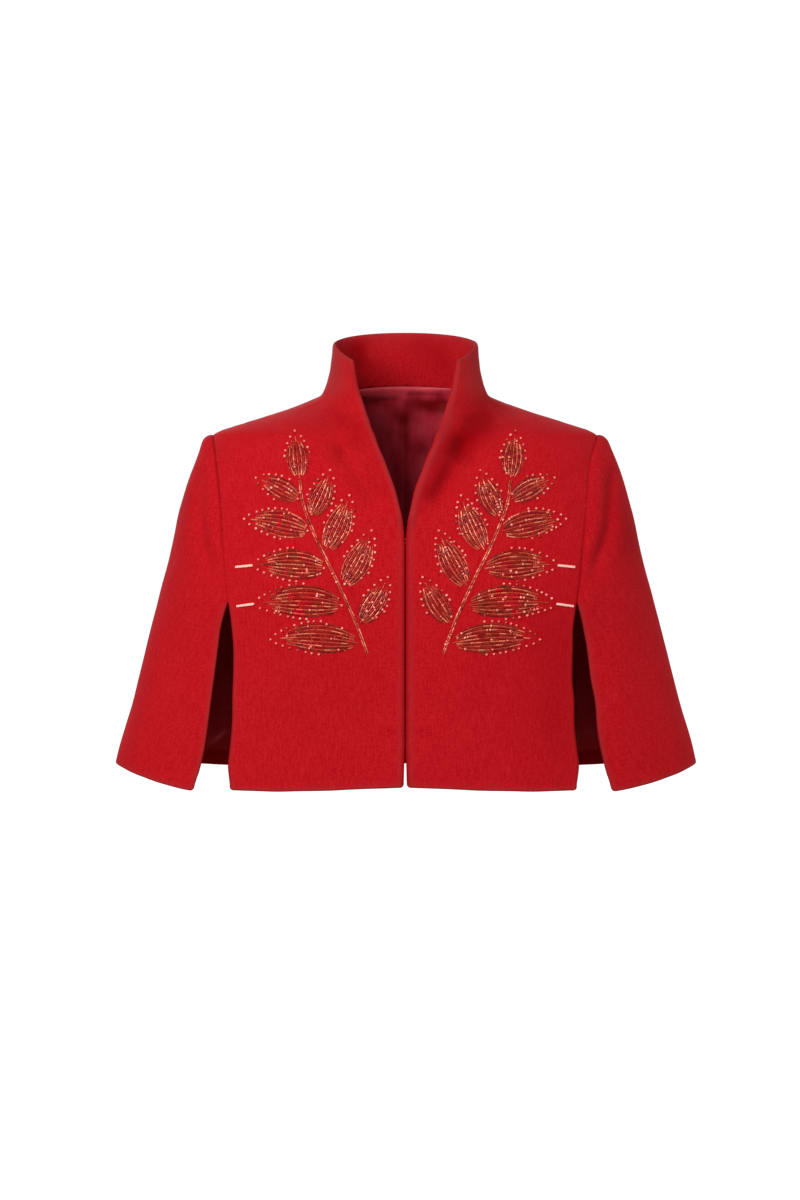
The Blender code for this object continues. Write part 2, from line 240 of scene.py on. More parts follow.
woolLook = {
    "deep": (0.298, 0.0012, 0.0046),
    "red": (0.350, 0.0044, 0.0082),
    "bright": (0.402, 0.0080, 0.0121),
    "wearAndSheen": (0.275, 0.0145, 0.0165),  # worn nap and painted sheen along edges, duller and paler
    "paintedShade": (0.215, 0.0001, 0.0020),  # painted shade: the dark of the depths of folds and seams
    "roughness": 0.92,
    "glossSpread": (-0.06, 0.96),  # the grains' roughness: below the one above, and at most
    "specular": 0.04,
    "sheen": 0.04,
    "sheenRoughness": 0.45,
    "sheenTint": (0.90, 0.32, 0.34),
    "grainSize": 1.7,  # mm between crepe grains
    "grainStretch": 0.72,
    "pebble": 0.45,  # the size of the finest grains, as a share of that
    "streakWidth": 1.7,  # mm between warp streaks
    "streakStretch": 0.12,
    "weft": 0.8,  # the weft streaks' width, as a share of that
    "weftStretch": 0.22,
    "threadShares": (0.55, 0.45),  # warp, weft
    "fleckShares": (0.4, 0.6),  # grains, threads
    "fleckSpan": (0.33, 0.67),
    "cloudSize": 34.0,
    "cloudRoughness": 0.45,
    "cloudShare": 0.16,
    "cloudSpan": (0.35, 0.7),
    "heightShares": (0.6, 0.4, 0.35),  # grains, pebble, threads
    "bump": (0.5, 0.10),  # strength, and depth in mm
    # the facings' copy of the wool is painted brighter, as painted light inside the collar
    "facingShade": 1.06,
}


def woolCrepe(name, look, shade=1.0):
    keys = ("deep", "red", "bright", "wearAndSheen", "paintedShade")
    tones = {key: (*(v * shade for v in look[key]), 1) for key in keys}
    material, n = newCloth(name, tones["red"][:3], look)
    cloth = n.cloth()
    grain = n.noise(n.stretched(cloth, 1.0, look["grainStretch"]), look["grainSize"])
    pebble = n.noise(cloth, look["grainSize"] * look["pebble"])
    streak = n.noise(n.stretched(cloth, 1.0, look["streakStretch"]), look["streakWidth"])
    weft = n.noise(n.stretched(cloth, look["weftStretch"], 1.0), look["streakWidth"] * look["weft"])
    cloud = n.noise(cloth, look["cloudSize"], look["cloudRoughness"])
    threads = n.total((streak, weft), look["threadShares"])
    fleck = n.ramp(n.total((grain, threads), look["fleckShares"]), 0.0, 1.0, *look["fleckSpan"])
    colour = n.mixed(fleck, tones["deep"], tones["bright"])
    colour = n.mixed(n.ramp(cloud, 0.0, look["cloudShare"], *look["cloudSpan"]), colour, tones["deep"])
    # the worn nap with painted sheen, and the painted shade, laid over the cloth's own colour
    for key in ("wearAndSheen", "paintedShade"):
        colour = n.mixed(n.mark(key), colour, tones[key])
    height = n.total((grain, pebble, threads), look["heightShares"])
    lower, highest = look["glossSpread"]
    gloss = n.ramp(grain, look["roughness"] + lower, highest)
    n.finish(colour, gloss, n.bump(height, *look["bump"]))
    return material


satinLook = {
    "dark": (0.310, 0.0075, 0.0180),
    "light": (0.480, 0.0240, 0.0460),
    "wearAndSheen": (0.520, 0.0520, 0.0660),
    "paintedShade": (0.150, 0.0002, 0.0010),
    "roughness": 0.42,
    "glossSpread": (-0.05, 0.1),
    "specular": 0.16,
    "sheen": 0.12,
    "sheenRoughness": 0.35,
    "sheenTint": (0.80, 0.12, 0.16),
    "twill": 0.9,  # mm between the satin's fine lines, and between its ripples below
    "twillStretch": 0.12,
    "twillBump": (0.25, 0.10),  # strength, and depth in mm
    "ripple": 16.0,
    "rippleStretch": 0.35,
    "rippleBump": (0.2, 1.0),
    "toneShares": (0.25, 0.75),  # twill, ripple
    "toneSpan": (0.3, 0.7),
}
# the sleeves' lining lies deep in the slits, so it is a shaded copy of the satin with painted shade: it is
# darker and shines less
sleeveSatinLook = {**satinLook, "specular": 0.06, "sheen": 0.03, "paintedShade": (0.27, 0.0003, 0.0012)}


def satin(name, look):
    material, n = newCloth(name, look["light"], look)
    cloth = n.cloth()
    fine = n.noise(n.stretched(cloth, 1.0, look["twillStretch"]), look["twill"])
    ripple = n.noise(n.stretched(cloth, 1.0, look["rippleStretch"]), look["ripple"])
    tone = n.ramp(n.total((fine, ripple), look["toneShares"]), 0.0, 1.0, *look["toneSpan"])
    colour = n.mixed(tone, (*look["dark"], 1), (*look["light"], 1))
    # painted sheen and painted shade laid over the satin's colour
    for key in ("wearAndSheen", "paintedShade"):
        colour = n.mixed(n.mark(key), colour, (*look[key], 1))
    normal = n.bump(ripple, *look["rippleBump"], n.bump(fine, *look["twillBump"]))
    lower, upper = look["glossSpread"]
    n.finish(colour, n.ramp(ripple, look["roughness"] + lower, look["roughness"] + upper), normal)
    return material


windingLook = {
    "light": (0.62, 0.085, 0.095),
    "dark": (0.30, 0.012, 0.020),
    "roughness": 0.62,
    "glossSpread": (0.55, 0.75),
    "specular": 0.25,
    "turn": 0.22,  # mm between the thread's turns
    "waver": 1.5,
    "fibre": 1 / 3,  # mm between fibres
    "fibreRoughness": 0.6,
    "shares": (0.7, 0.3),  # turns, fibres
    "toneSpan": (0.15, 0.7),
    "bump": (0.4, 0.06),
}


def threadWinding(look):
    # the hook and the eye are wound with thread, a turn beside the other
    material = newMaterial("hookThread", look["light"], look["roughness"], look["specular"])
    n = Nodes(material)
    place = n.add("TexCoord").outputs["Object"]
    density = 0.5 / (look["turn"] * mm)
    diagonal = {"bands_direction": "DIAGONAL"}
    turns = n.add("TexWave", diagonal, Vector=place, Scale=density, Distortion=look["waver"])
    fibre = n.noise(place, look["fibre"], look["fibreRoughness"])
    wound = n.total((turns.outputs[0], fibre), look["shares"])
    colour = n.mixed(n.ramp(wound, 0.0, 1.0, *look["toneSpan"]), (*look["dark"], 1), (*look["light"], 1))
    n.finish(colour, n.ramp(fibre, *look["glossSpread"]), n.bump(wound, *look["bump"]))
    return material


beadLooks = {
    # the bead's three glass tones, metal share, roughness and coat
    "gold": {
        "tones": ((0.140, 0.005, 0.004), (0.420, 0.055, 0.028), (0.740, 0.235, 0.130)),
        "metal": 0.20,
        "roughness": 0.36,
        "coat": 0.04,
    },
    "pink": {
        "tones": ((0.50, 0.06, 0.045), (0.74, 0.17, 0.125), (0.88, 0.50, 0.42)),
        "metal": 0.10,
        "roughness": 0.42,
        "coat": 0.15,
    },
}
glassForm = {
    "specular": 0.2,
    "coatRoughness": 0.12,
    "cloudSize": 1 / 0.7,
    "cloudShare": 0.25,
    "glossSpread": (-0.08, 0.1),
    "bump": (0.15, 0.05),
}


def glassBead(name, look):
    dark, middle, light = ((*tone, 1) for tone in look["tones"])
    material = newMaterial(name, look["tones"][1], look["roughness"], glassForm["specular"])
    n = Nodes(material)
    n.set(Metallic=look["metal"], Coat_Weight=look["coat"], Coat_Roughness=glassForm["coatRoughness"])
    tone = n.add("Attribute", {"attribute_name": "tone"}).outputs["Fac"]
    cloud = n.noise(n.add("TexCoord").outputs["Object"], glassForm["cloudSize"])
    cloudTone = n.maths("MULTIPLY", n.maths("SUBTRACT", cloud, 0.5), glassForm["cloudShare"])
    share = n.maths("ADD", tone, cloudTone)
    colour = n.mixed(n.ramp(share, 0.0, 1.0, 0.0, 0.5), dark, middle)
    colour = n.mixed(n.ramp(share, 0.0, 1.0, 0.5, 1.0), colour, light)
    lower, upper = glassForm["glossSpread"]
    gloss = n.ramp(cloud, look["roughness"] + lower, look["roughness"] + upper)
    n.finish(colour, gloss, n.bump(cloud, *glassForm["bump"]))
    return material


# the body's form, as the solids have it

bodyRings = {  # one ring of the body for each place in the columns, from the collar's rim down
    "level": (77, 50, 25, 19, 12.7, 6.5, -6.3, -19, -32, -56, -106, -189, -375),
    "widthFront": (74.8, 77.6, 85, 90, 105, 124, 167, 200, 206, 214, 235, 255, 280),
    "widthBack": (74.8, 77.6, 85, 90, 105, 124, 167, 200, 205, 212, 226, 250, 290),
    "depthFront": (73, 76, 82, 84, 87, 90, 97, 103, 107, 112, 119, 128, 127),
    "depthBack": (70, 71, 76, 78, 82, 86, 93, 99, 104, 109, 115, 117, 122),
    "power": (2.3, 2.3, 2.25, 2.2, 2.1, 2.0, 1.9, 1.9, 2.05, 2.25, 2.4, 2.4, 2.4),
    "riseFront": (-32, -29, -22, -20, -17.5, -15, -10, -6, -3, 0, 0, 0, 0),
    "riseBack": (17, 18.5, 19.5, 19.5, 17.5, 15.5, 11, 7, 4, 0, 0, 0, 0),
}
bodyForm = {
    # levels of the collar's rim, the neck seam, the shoulder's tip, the slit's top and the hems
    "rim": 77.0,
    "neck": 19.0,
    "tip": -19.0,
    "slit": -189.0,
    "hem": -375.0,
    "liningHem": -357.0,
    "liningGap": 0.5,  # between the wool and a lining
    "liningCalm": 8.0,  # how far in from a seam the linings begin to hang in folds
    "frontHemDrop": 3.0,
    "cornerDrop": 8.0,  # how much lower the sleeve's front corner hangs
    "risePowerFront": 1.7,
    "risePowerBack": 1.1,
    "wall": 2.4,
    "fineColumns": (240, 260, 120),  # the front's, the half back's and each half sleeve's, before respacing
    "steerReach": 9.0,  # how far in from a seam the panels turn to the same outward direction
    "seamGap": 0.06,
    "seamDip": 0.9,
    "seamReach": 1.5,
    # the painted shade along the seams: its reach and how dark it is
    "seamLine": 1.3,
    "seamShade": 0.68,
    # how crisp the front armhole seams are near the shoulder and above the slit
    "seamFadeLeft": (0.45, 1.0),
    "seamFadeRight": (1.0, 0.35),
    "seamFadeSpan": (85.0, 165.0),  # the depth below the shoulders where that changes
    "seamPucker": (15.0, 0.16, 3.0),  # spacing, height and seed
    "relief": ((95.0, 0.45, 11), (38.0, 0.13, 12)),  # size, height and seed of the cloth's unevenness
    "slitFade": (2.0, 0.8),  # how far below the slit's top an edge becomes a free one, and how softly
    "edgeRound": 2.4,
    "rimRound": 1.8,
    "hemRound": 1.6,
    "cornerRound": 4.0,
    "edgeFlat": 0.10,  # how thick a rounded edge is at the very end, as a share of the wall
    "shortRow": 20.0,  # in rows shorter than this the places below shrink with the row
    # places of rows and columns from an edge inwards, and the rows' step elsewhere
    "edgeSteps": (0.0, 0.2, 0.55, 1.0, 1.6, 2.4, 3.5, 4.8, 6.3, 8.0),
    "rowStep": 3.0,
    "neckSteps": (1.8, 0.9, 0.3),  # above the neck seam
    "shoulderStep": 1.0,
    "tipSteps": (0.25, 0.6, 1.1, 1.8, 2.8, 4.0),  # below the shoulder's tip
}


def readTable(table, column, key):
    # a smooth value from columns whose first one falls from place to place
    keys = -np.array(next(iter(table.values())), float)
    values = np.array(table[column], float)
    steps = np.diff(keys)
    slopes = np.diff(values) / steps
    tangents = np.concatenate([slopes[:1], np.zeros(len(slopes) - 1), slopes[-1:]])
    before, after = slopes[:-1], slopes[1:]
    same = before * after > 0
    tangents[1:-1][same] = (2 * before * after)[same] / (before + after)[same]
    place = np.clip(-np.asarray(key, float), keys[0], keys[-1])
    i = np.clip(np.searchsorted(keys, place) - 1, 0, len(steps) - 1)
    t = (place - keys[i]) / steps[i]
    return (
        values[i] * (1 + 2 * t) * (1 - t) ** 2
        + tangents[i] * steps[i] * t * (1 - t) ** 2
        + values[i + 1] * t * t * (3 - 2 * t)
        + tangents[i + 1] * steps[i] * t * t * (t - 1)
    )


def hemShare(level):
    return np.maximum(0.0, (bodyForm["slit"] - level) / (bodyForm["slit"] - bodyForm["hem"]))


def ringShare(level, x, width):
    power = readTable(bodyRings, "power", level)
    return (1.0 - np.minimum(np.abs(x) / width, 1.0) ** power) ** (1.0 / power)


def frontPoint(level, x):
    share = ringShare(level, x, readTable(bodyRings, "widthFront", level))
    y = -readTable(bodyRings, "depthFront", level) * share
    rise = readTable(bodyRings, "riseFront", level) * share ** bodyForm["risePowerFront"]
    z = level + rise - bodyForm["frontHemDrop"] * hemShare(level)
    return np.stack(np.broadcast_arrays(x, y, z), -1)


def backPoint(level, x):
    share = ringShare(level, x, readTable(bodyRings, "widthBack", level))
    y = readTable(bodyRings, "depthBack", level) * share
    z = level + readTable(bodyRings, "riseBack", level) * share ** bodyForm["risePowerBack"]
    return np.stack(np.broadcast_arrays(x, y, z), -1)


def evenTurns(level, xFrom, xTo, width, columns):
    # x spaced evenly by angle round a ring
    power = readTable(bodyRings, "power", level)
    first = np.arcsin(np.minimum(xFrom / width, 1.0) ** (power / 2))
    last = np.arcsin(np.minimum(xTo / width, 1.0) ** (power / 2))
    share = np.linspace(0.0, 1.0, columns + 1)[None, :]
    return width * np.sin(first + (last - first) * share) ** (2 / power)


def rowLevels():
    # the regular rows stop a little short of the closer ones beside the edges and seams
    steps = np.array(bodyForm["edgeSteps"])
    parts = [
        bodyForm["rim"] - steps,
        np.arange(bodyForm["rim"] - 10.5, bodyForm["neck"] + 2.5, -bodyForm["rowStep"]),
        bodyForm["neck"] + np.array(bodyForm["neckSteps"]),
        np.arange(bodyForm["neck"], bodyForm["tip"] - 0.1, -bodyForm["shoulderStep"]),
        bodyForm["tip"] - np.array(bodyForm["tipSteps"]),
        np.arange(bodyForm["tip"] - 6, bodyForm["slit"] + 1, -bodyForm["rowStep"]),
        [bodyForm["slit"]],
        np.arange(bodyForm["slit"] - 2.5, bodyForm["hem"] + 10, -bodyForm["rowStep"]),
        bodyForm["hem"] + steps,
    ]
    return np.unique(np.round(np.concatenate(parts), 3))[::-1]


def rowAt(level):
    # the first row at or below a level
    return int(np.argmax(levels[:, 0] <= level))


levels = rowLevels()[:, None]
neckRow, tipRow, slitRow = (rowAt(bodyForm[name]) for name in ("neck", "tip", "slit"))


def bell(away, reach):
    return np.exp(-((away / reach) ** 2))


def smoothStep(low, high, value):
    t = np.clip((value - low) / (high - low), 0.0, 1.0)
    return t * t * (3 - 2 * t)


def respaced(points, count):
    # along each row: points close together at both ends, even between them
    steps = np.array(bodyForm["edgeSteps"])
    result = np.empty((points.shape[0], count + 2 * len(steps) - 2, 3))
    for i, row in enumerate(points):
        run = runAlong(row)
        near = steps * min(1.0, run[-1] / bodyForm["shortRow"])
        middle = np.linspace(near[-1], run[-1] - near[-1], count)
        places = np.concatenate([near[:-1], middle, run[-1] - near[:-1][::-1]])
        result[i] = alongLine(places, run, row)
    return result


def runAlong(line):
    return np.concatenate([[0.0], np.cumsum(np.linalg.norm(np.diff(line, axis=0), axis=1))])


def alongLine(places, run, line):
    return np.stack([np.interp(places, run, line[:, axis]) for axis in range(line.shape[1])], axis=-1)


def lineDistance(line, x, z):
    fromX, fromZ, toX, toZ = line
    runX, runZ = toX - fromX, toZ - fromZ
    along = np.clip(((x - fromX) * runX + (z - fromZ) * runZ) / (runX**2 + runZ**2), 0.0, 1.0)
    return np.hypot(x - fromX - runX * along, z - fromZ - runZ * along), along


reliefForm = {
    "creaseEnds": 0.25,  # how deep a crease is at its two ends, as a share of its middle
    "creasePower": 0.7,
    "waves": 7,
    "waveSpread": (0.7, 1.6),
    "puckerReach": 0.42,  # as a share of the spacing
    # how puckers wander: size, length in spacings, seed's share
    "puckerWander": ((1.7, 2.3, 1), (0.8, 0.9, 2)),
}


def foldPush(folds, x, z):
    # soft folds: lines in the front view, with how far the cloth is pushed out there
    push = 0.0
    for *line, reach, depth in folds:
        push = push + depth * bell(lineDistance(line, x, z)[0], reach)
    return push


def creaseHeight(creases, x, z):
    # creases of uneven length: deep in the middle of their line and fading to both ends
    height, ends = 0.0, reliefForm["creaseEnds"]
    for *line, reach, depth in creases:
        away, along = lineDistance(line, x, z)
        share = ends + (1 - ends) * np.sin(np.pi * along) ** reliefForm["creasePower"]
        height = height + depth * bell(away, reach) * share
    return height


def softWaves(points, size, height, seed):
    draw = np.random.default_rng(seed)
    total, waves = 0.0, reliefForm["waves"]
    for _ in range(waves):
        direction = draw.normal(size=3)
        direction *= 2 * np.pi / (size * draw.uniform(*reliefForm["waveSpread"]) * np.linalg.norm(direction))
        total = total + np.sin(points @ direction + draw.uniform(0, 2 * np.pi))
    return total * height / math.sqrt(waves)


def puckers(along, away, spacing, height, seed):
    # the slight gathering of the cloth beside a seam
    phase = sum(
        size * np.sin(along / (spacing * length) + share * seed)
        for size, length, share in reliefForm["puckerWander"]
    )
    near = bell(away, spacing * reliefForm["puckerReach"])
    return height * near * np.sin(2 * np.pi * along / spacing + phase)


def unit(vectors):
    return vectors / (np.linalg.norm(vectors, axis=-1, keepdims=True) + 1e-9)


def gridNormals(points, turn):
    return unit(np.cross(np.gradient(points, axis=1), np.gradient(points, axis=0)) * turn)


def makePanel(points, turn, normals=None):
    across = np.linalg.norm(np.diff(points, axis=1), axis=2)
    down = np.linalg.norm(np.diff(points, axis=0), axis=2)
    zeroColumn = np.zeros((points.shape[0], 1))
    zeroRow = np.zeros((1, points.shape[1]))
    fromStart = np.concatenate([zeroColumn, np.cumsum(across, axis=1)], axis=1)
    fromTop = np.concatenate([zeroRow, np.cumsum(down, axis=0)], axis=0)
    return {
        "points": points,
        "turn": turn,
        "normals": gridNormals(points, turn) if normals is None else normals,
        "fromStart": fromStart,
        "fromEnd": fromStart[:, -1:] - fromStart,
        "fromTop": fromTop,
        "fromBottom": fromTop[-1:] - fromTop,
    }


def mirroredPanel(panel):
    flipX = np.array([-1.0, 1.0, 1.0])
    copy = dict(panel)
    copy.update(points=panel["points"] * flipX, normals=panel["normals"] * flipX, turn=-panel["turn"])
    return copy


frontPanel = {
    "edge": {  # half the distance between the two front edges at each height
        "height": (56, 28, -1, -34, -70, -89, -110, -128, -150, -330, -378),
        "halfGap": (52.5, 47.5, 38.5, 26, 12.5, 6.6, 2.2, 0.55, 0.4, 0.5, 1.4),
    },
    "side": {  # the armhole seam as far as the slit, then the panel's free edge
        "level": (-19, -31, -67, -93, -130, -176, -189, -208, -244, -290, -334, -356, -375),
        "x": (200, 197, 191, 187, 184, 180.5, 178.5, 175.5, 172, 171.5, 175, 177, 177),
    },
    "edgeSearch": (20.0, 30, 0.7),
    # from x, from z, to x, to z, reach, push out
    "folds": (
        (52, 26, 24, -34, 14, 5), (24, -34, 2, -100, 10, 4.5), (92, 8, 62, -34, 18, -9.5),
        (60, -38, 34, -84, 12, -7.5), (92, -175, 92, -215, 52, 5),
    ),
    # how far the hem hangs above a level line at each distance from the middle
    "hemLift": {
        "x": (178, 150, 130, 106, 78, 50, 23, 4),
        "lift": (-1.8, -1.9, -2.2, -1.3, -0.6, 1.05, 2.05, 2.8),
    },
    "foldCalm": 3.0,  # the folds fade over the last third of the way to the seam
    "columns": 78,
    "edgeRound": 3.2,
    "neckEdge": {"reach": 9.0, "foot": -110.0, "fade": 8.0, "thicker": 0.35},
    "calm": {"seam": 14.0, "edge": 8.0, "edgeShare": 0.7},  # creases fade beside the seam and the edge
    "edgePucker": (31.0, 0.22, 5.0),
    "hemPucker": (47.0, 0.35, 2.0),
    # the thick soft edge beside the V, where the cloth turns in round an arc
    "rollLeft": {"angle": 1.35, "radius": 4.6, "reach": 9.0},
    "rollRight": {"angle": 1.25, "radius": 3.6, "reach": 8.0},
    "rollFoot": (-122.0, -96.0),  # the heights between which the roll grows, and eases near the rim
    "rollTop": (42.0, 62.0),
    "rollEase": 0.4,
    "rollColumn": 8,  # the column whose slope stands for the edge's
    # the strip of paler nap and painted sheen beside the front edge: how far in it lies and how wide it is
    "napLeft": {"place": 4.2, "reach": 3.4, "share": 0.85, "spread": 0.9, "low": 0.2},
    "napRight": {"place": 2.2, "reach": 2.6, "share": 0.95, "spread": 0.2, "low": 2.2},
    "napWide": (-12.0, 24.0),  # height and reach of its widest part
    "napLow": (-126.0, -104.0),  # below these heights it is fainter
    "napLowLoss": 0.45,
    "rimNapSheen": 76,  # the rim's nap and painted sheen end where the shoulder begins
    "edgeLine": {"share": 0.8, "reach": 1.5, "lowReach": 1.4},  # the dark line of painted shade on the edge itself
    # painted shade along the front's free edge below the slit's top
    "slitLine": (0.95, 2.0),
    # painted shade in the hollows of the large folds and where the cloth lies in shade: from x, from z, to x,
    # to z, reach, share
    "hollowsLeft": (
        (108, 30, 76, 2, 15, 0.6), (90, 2, 58, -20, 19, 0.95), (64, -14, 44, -48, 15, 0.9),
        (46, -46, 22, -92, 9, 0.7), (156, -170, 164, -376, 42, 0.36),
    ),
    "hollowsRight": (
        (82, 8, 34, -28, 11, 0.5), (53, 52, 45, 18, 4, 0.55),
    ),
    "creasesLeft": (
        (88, 6, 64, -18, 12, -2.4), (66, -18, 50, -50, 11, -3.4), (49, -50, 31, -86, 9, -2.0),
        (18, -138, 96, -112, 10, -0.7), (150, -60, 176, -120, 9, 0.8), (158, -140, 120, -190, 14, -0.8),
        (40, -230, 52, -372, 20, 0.9), (84, -262, 90, -374, 15, -1.0), (128, -240, 136, -374, 19, 1.1),
        (160, -236, 158, -350, 10, -0.8),
    ),
    "creasesRight": (
        (80, 6, 46, -40, 11, -0.9), (50, -50, 22, -98, 8, -0.4), (16, -150, 88, -128, 12, -0.6),
        (146, -70, 172, -132, 10, 0.6), (150, -150, 108, -206, 15, -0.7),
        (34, -262, 38, -374, 17, -0.8), (72, -238, 80, -373, 20, 0.9), (112, -268, 120, -374, 14, -0.9),
        (150, -228, 150, -372, 16, 0.9),
    ),
    "flat": (0.215, 0.475),
    "area": 0.082,
}


def edgeX(level):
    # the front edge's x, found step by step, because its height depends on it
    first, count, share = frontPanel["edgeSearch"]
    x = np.full_like(level, first)
    for _ in range(count):
        height = frontPoint(level, x)[..., 2]
        x = x + (readTable(frontPanel["edge"], "halfGap", height) - x) * share
    return x


def sideX(side, ringColumn, level):
    # the body's full width above the shoulder's tip, the panel's own side below it
    full = readTable(bodyRings, ringColumn, level)
    return np.where(level > bodyForm["tip"], full, readTable(side, "x", level))


def cutFront():
    width = readTable(bodyRings, "widthFront", levels)
    side = sideX(frontPanel["side"], "widthFront", levels)
    x = evenTurns(levels, edgeX(levels), side, width, bodyForm["fineColumns"][0])
    points = frontPoint(levels, x)
    calm = np.minimum(1.0, np.linspace(1.0, 0.0, x.shape[1]) * frontPanel["foldCalm"])[None, :]
    points[..., 1] -= foldPush(frontPanel["folds"], points[..., 0], points[..., 2]) * calm
    return makePanel(respaced(points, frontPanel["columns"]), -1)


backPanel = {
    "side": {
        "level": (-19, -32, -56, -96, -156, -260, -375),
        "x": (200, 195, 189, 184, 182, 186, 191),
    },
    "columns": 150,
    "calm": 16.0,
    "hemPucker": (52.0, 0.4, 1.0),
    "creases": (
        (-118, -52, -140, -372, 22, 1.5), (-72, -120, -84, -374, 17, -1.3),
        (-30, -170, -38, -374, 21, 1.0), (18, -140, 22, -374, 16, -1.1), (62, -96, 78, -374, 20, 1.3),
        (112, -150, 126, -374, 15, -1.2), (152, -70, 166, -374, 20, 1.3), (-92, -26, 84, -32, 15, -0.8),
        (-150, -46, -96, -150, 12, -0.9), (146, -52, 104, -130, 11, -0.8), (-52, 42, 48, 39, 7, -0.6),
    ),
    "flat": (0.480, 0.480),
    "area": 0.182,
}


def cutBack():
    width = readTable(bodyRings, "widthBack", levels)
    side = sideX(backPanel["side"], "widthBack", levels)
    x = evenTurns(levels, np.zeros_like(levels), side, width, bodyForm["fineColumns"][1])
    half = backPoint(levels, x)
    whole = np.concatenate([half[:, :0:-1] * np.array([-1.0, 1.0, 1.0]), half], axis=1)
    return makePanel(respaced(whole, backPanel["columns"]), 1)


sleevePanel = {
    "outer": {  # the outermost point at each seam level
        "level": (-19, -23, -32, -46, -64, -86, -110, -149, -189, -244, -308, -357, -375),
        "x": (200, 203.5, 210, 216, 224, 232, 240, 250, 259.5, 273.5, 289.5, 301.5, 304.5),
        "y": (0, 0, 0, 1, 2, 3, 4, 5, 6, 7, 8, 9, 9),
        "height": (-19, -19, -22.5, -36, -56, -80, -107, -149, -187, -240, -301, -346, -362),
    },
    "edge": {  # the free front edge below the slit's top
        "level": (-189, -207, -238, -308, -349, -375),
        "x": (178.5, 183, 187, 196.5, 203, 210),
        "y": (-98, -98, -98, -97, -95, -93),
    },
    "turn": math.radians(18),
    "dropPower": 2.3,
    "edgeEase": 6.0,
    "foldCalm": 4.0,
    "folds": ((213, -62, 207, -113, 8, -3.5), (206, -118, 188, -165, 8, -3.5), (196, -70, 192, -130, 9, 1.5)),
    "columns": 84,
    "frontEnd": (-8.0, 10.0),  # the y where the front's creases give way to the back's, and how softly
    "calm": (7.0, 14.0),
    "frontPucker": (15.0, 0.2, 3.0),
    "backPucker": (17.0, 0.16, 4.0),
    "hemPucker": (44.0, 0.4, 6.0),
    "tipCalm": (0.6, 6.0),
    "turnedHem": 0.3,  # how much the wool shows paler inside the hem, where the rest of the inner side is in painted shade
    "frontCreasesLeft": (
        (212, -60, 203, -112, 5, -1.4), (205, -116, 190, -160, 4.5, -1.6),
        (224, -92, 214, -150, 8, 0.9), (196, -150, 206, -232, 8, -0.7),
        (238, -170, 252, -300, 14, -0.9), (214, -236, 226, -360, 12, 0.8),
        (262, -250, 282, -356, 11, 0.8),
    ),
    "frontCreasesRight": (
        (214, -72, 204, -124, 7, -0.7), (222, -64, 226, -140, 10, 0.7), (198, -140, 208, -214, 9, -0.6),
        (234, -160, 246, -286, 15, -0.9), (210, -250, 222, -364, 13, 0.8),
        (256, -230, 280, -358, 12, 0.7),
    ),
    # painted shade on the sleeves' fronts: from x, from z, to x, to z, reach, share
    "hollowsLeft": (
        (226, -84, 234, -156, 18, 0.45), (211, -52, 206, -104, 5, 0.6), (206, -104, 190, -152, 6, 0.5),
    ),
    "hollowsRight": (
        (232, -50, 238, -112, 14, 0.35), (205, -112, 192, -160, 5, 0.3),
    ),
    "backCreases": (
        (214, -56, 200, -128, 9, -1.3), (230, -96, 216, -190, 11, 1.1),
        (200, -170, 212, -300, 12, -1.1), (240, -190, 262, -352, 14, 1.0),
        (226, -262, 238, -366, 11, -0.9),
    ),
    "flat": (0.310, 0.400),
    "area": 0.088,
}


def quarterTurn(seam, outer, columns):
    # points from a seam to the outermost point, round a quarter of a ring
    turn = np.linspace(sleevePanel["turn"], np.pi / 2, columns + 1)[None, :, None]
    startSin, startCos = math.sin(sleevePanel["turn"]), math.cos(sleevePanel["turn"])
    out = (np.sin(turn) - startSin) / (1.0 - startSin)
    back = np.cos(turn) / startCos
    share = np.concatenate([out, 1.0 - back, 1.0 - np.maximum(back, 0.0) ** sleevePanel["dropPower"]], axis=2)
    return seam[:, None, :] + (outer - seam)[:, None, :] * share


def cutSleeve(front, back):
    level = levels[tipRow + 1 :, 0]
    form, columns = sleevePanel, bodyForm["fineColumns"][2]
    outer = np.stack([readTable(form["outer"], name, level) for name in ("x", "y", "height")], axis=1)
    seam = front["points"][tipRow + 1 :, -1].copy()
    free = level < bodyForm["slit"]
    slitY = front["points"][slitRow, -1, 1]
    ease = np.minimum(1.0, hemShare(level) * form["edgeEase"])
    seam[free, 0] = readTable(form["edge"], "x", level)[free]
    seam[free, 1] = (slitY + (readTable(form["edge"], "y", level) - slitY) * ease)[free]
    seam[free, 2] = (level - bodyForm["cornerDrop"] * hemShare(level))[free]
    frontHalf = quarterTurn(seam, outer, columns)
    backHalf = quarterTurn(back["points"][tipRow + 1 :, -1], outer, columns)
    calm = np.minimum(1.0, np.linspace(0.0, form["foldCalm"], columns + 1))[None, :]
    frontHalf[..., 1] -= foldPush(form["folds"], frontHalf[..., 0], frontHalf[..., 2]) * calm
    ring = np.concatenate([frontHalf, backHalf[:, -2::-1]], axis=1)
    return makePanel(respaced(ring, form["columns"]), -1)


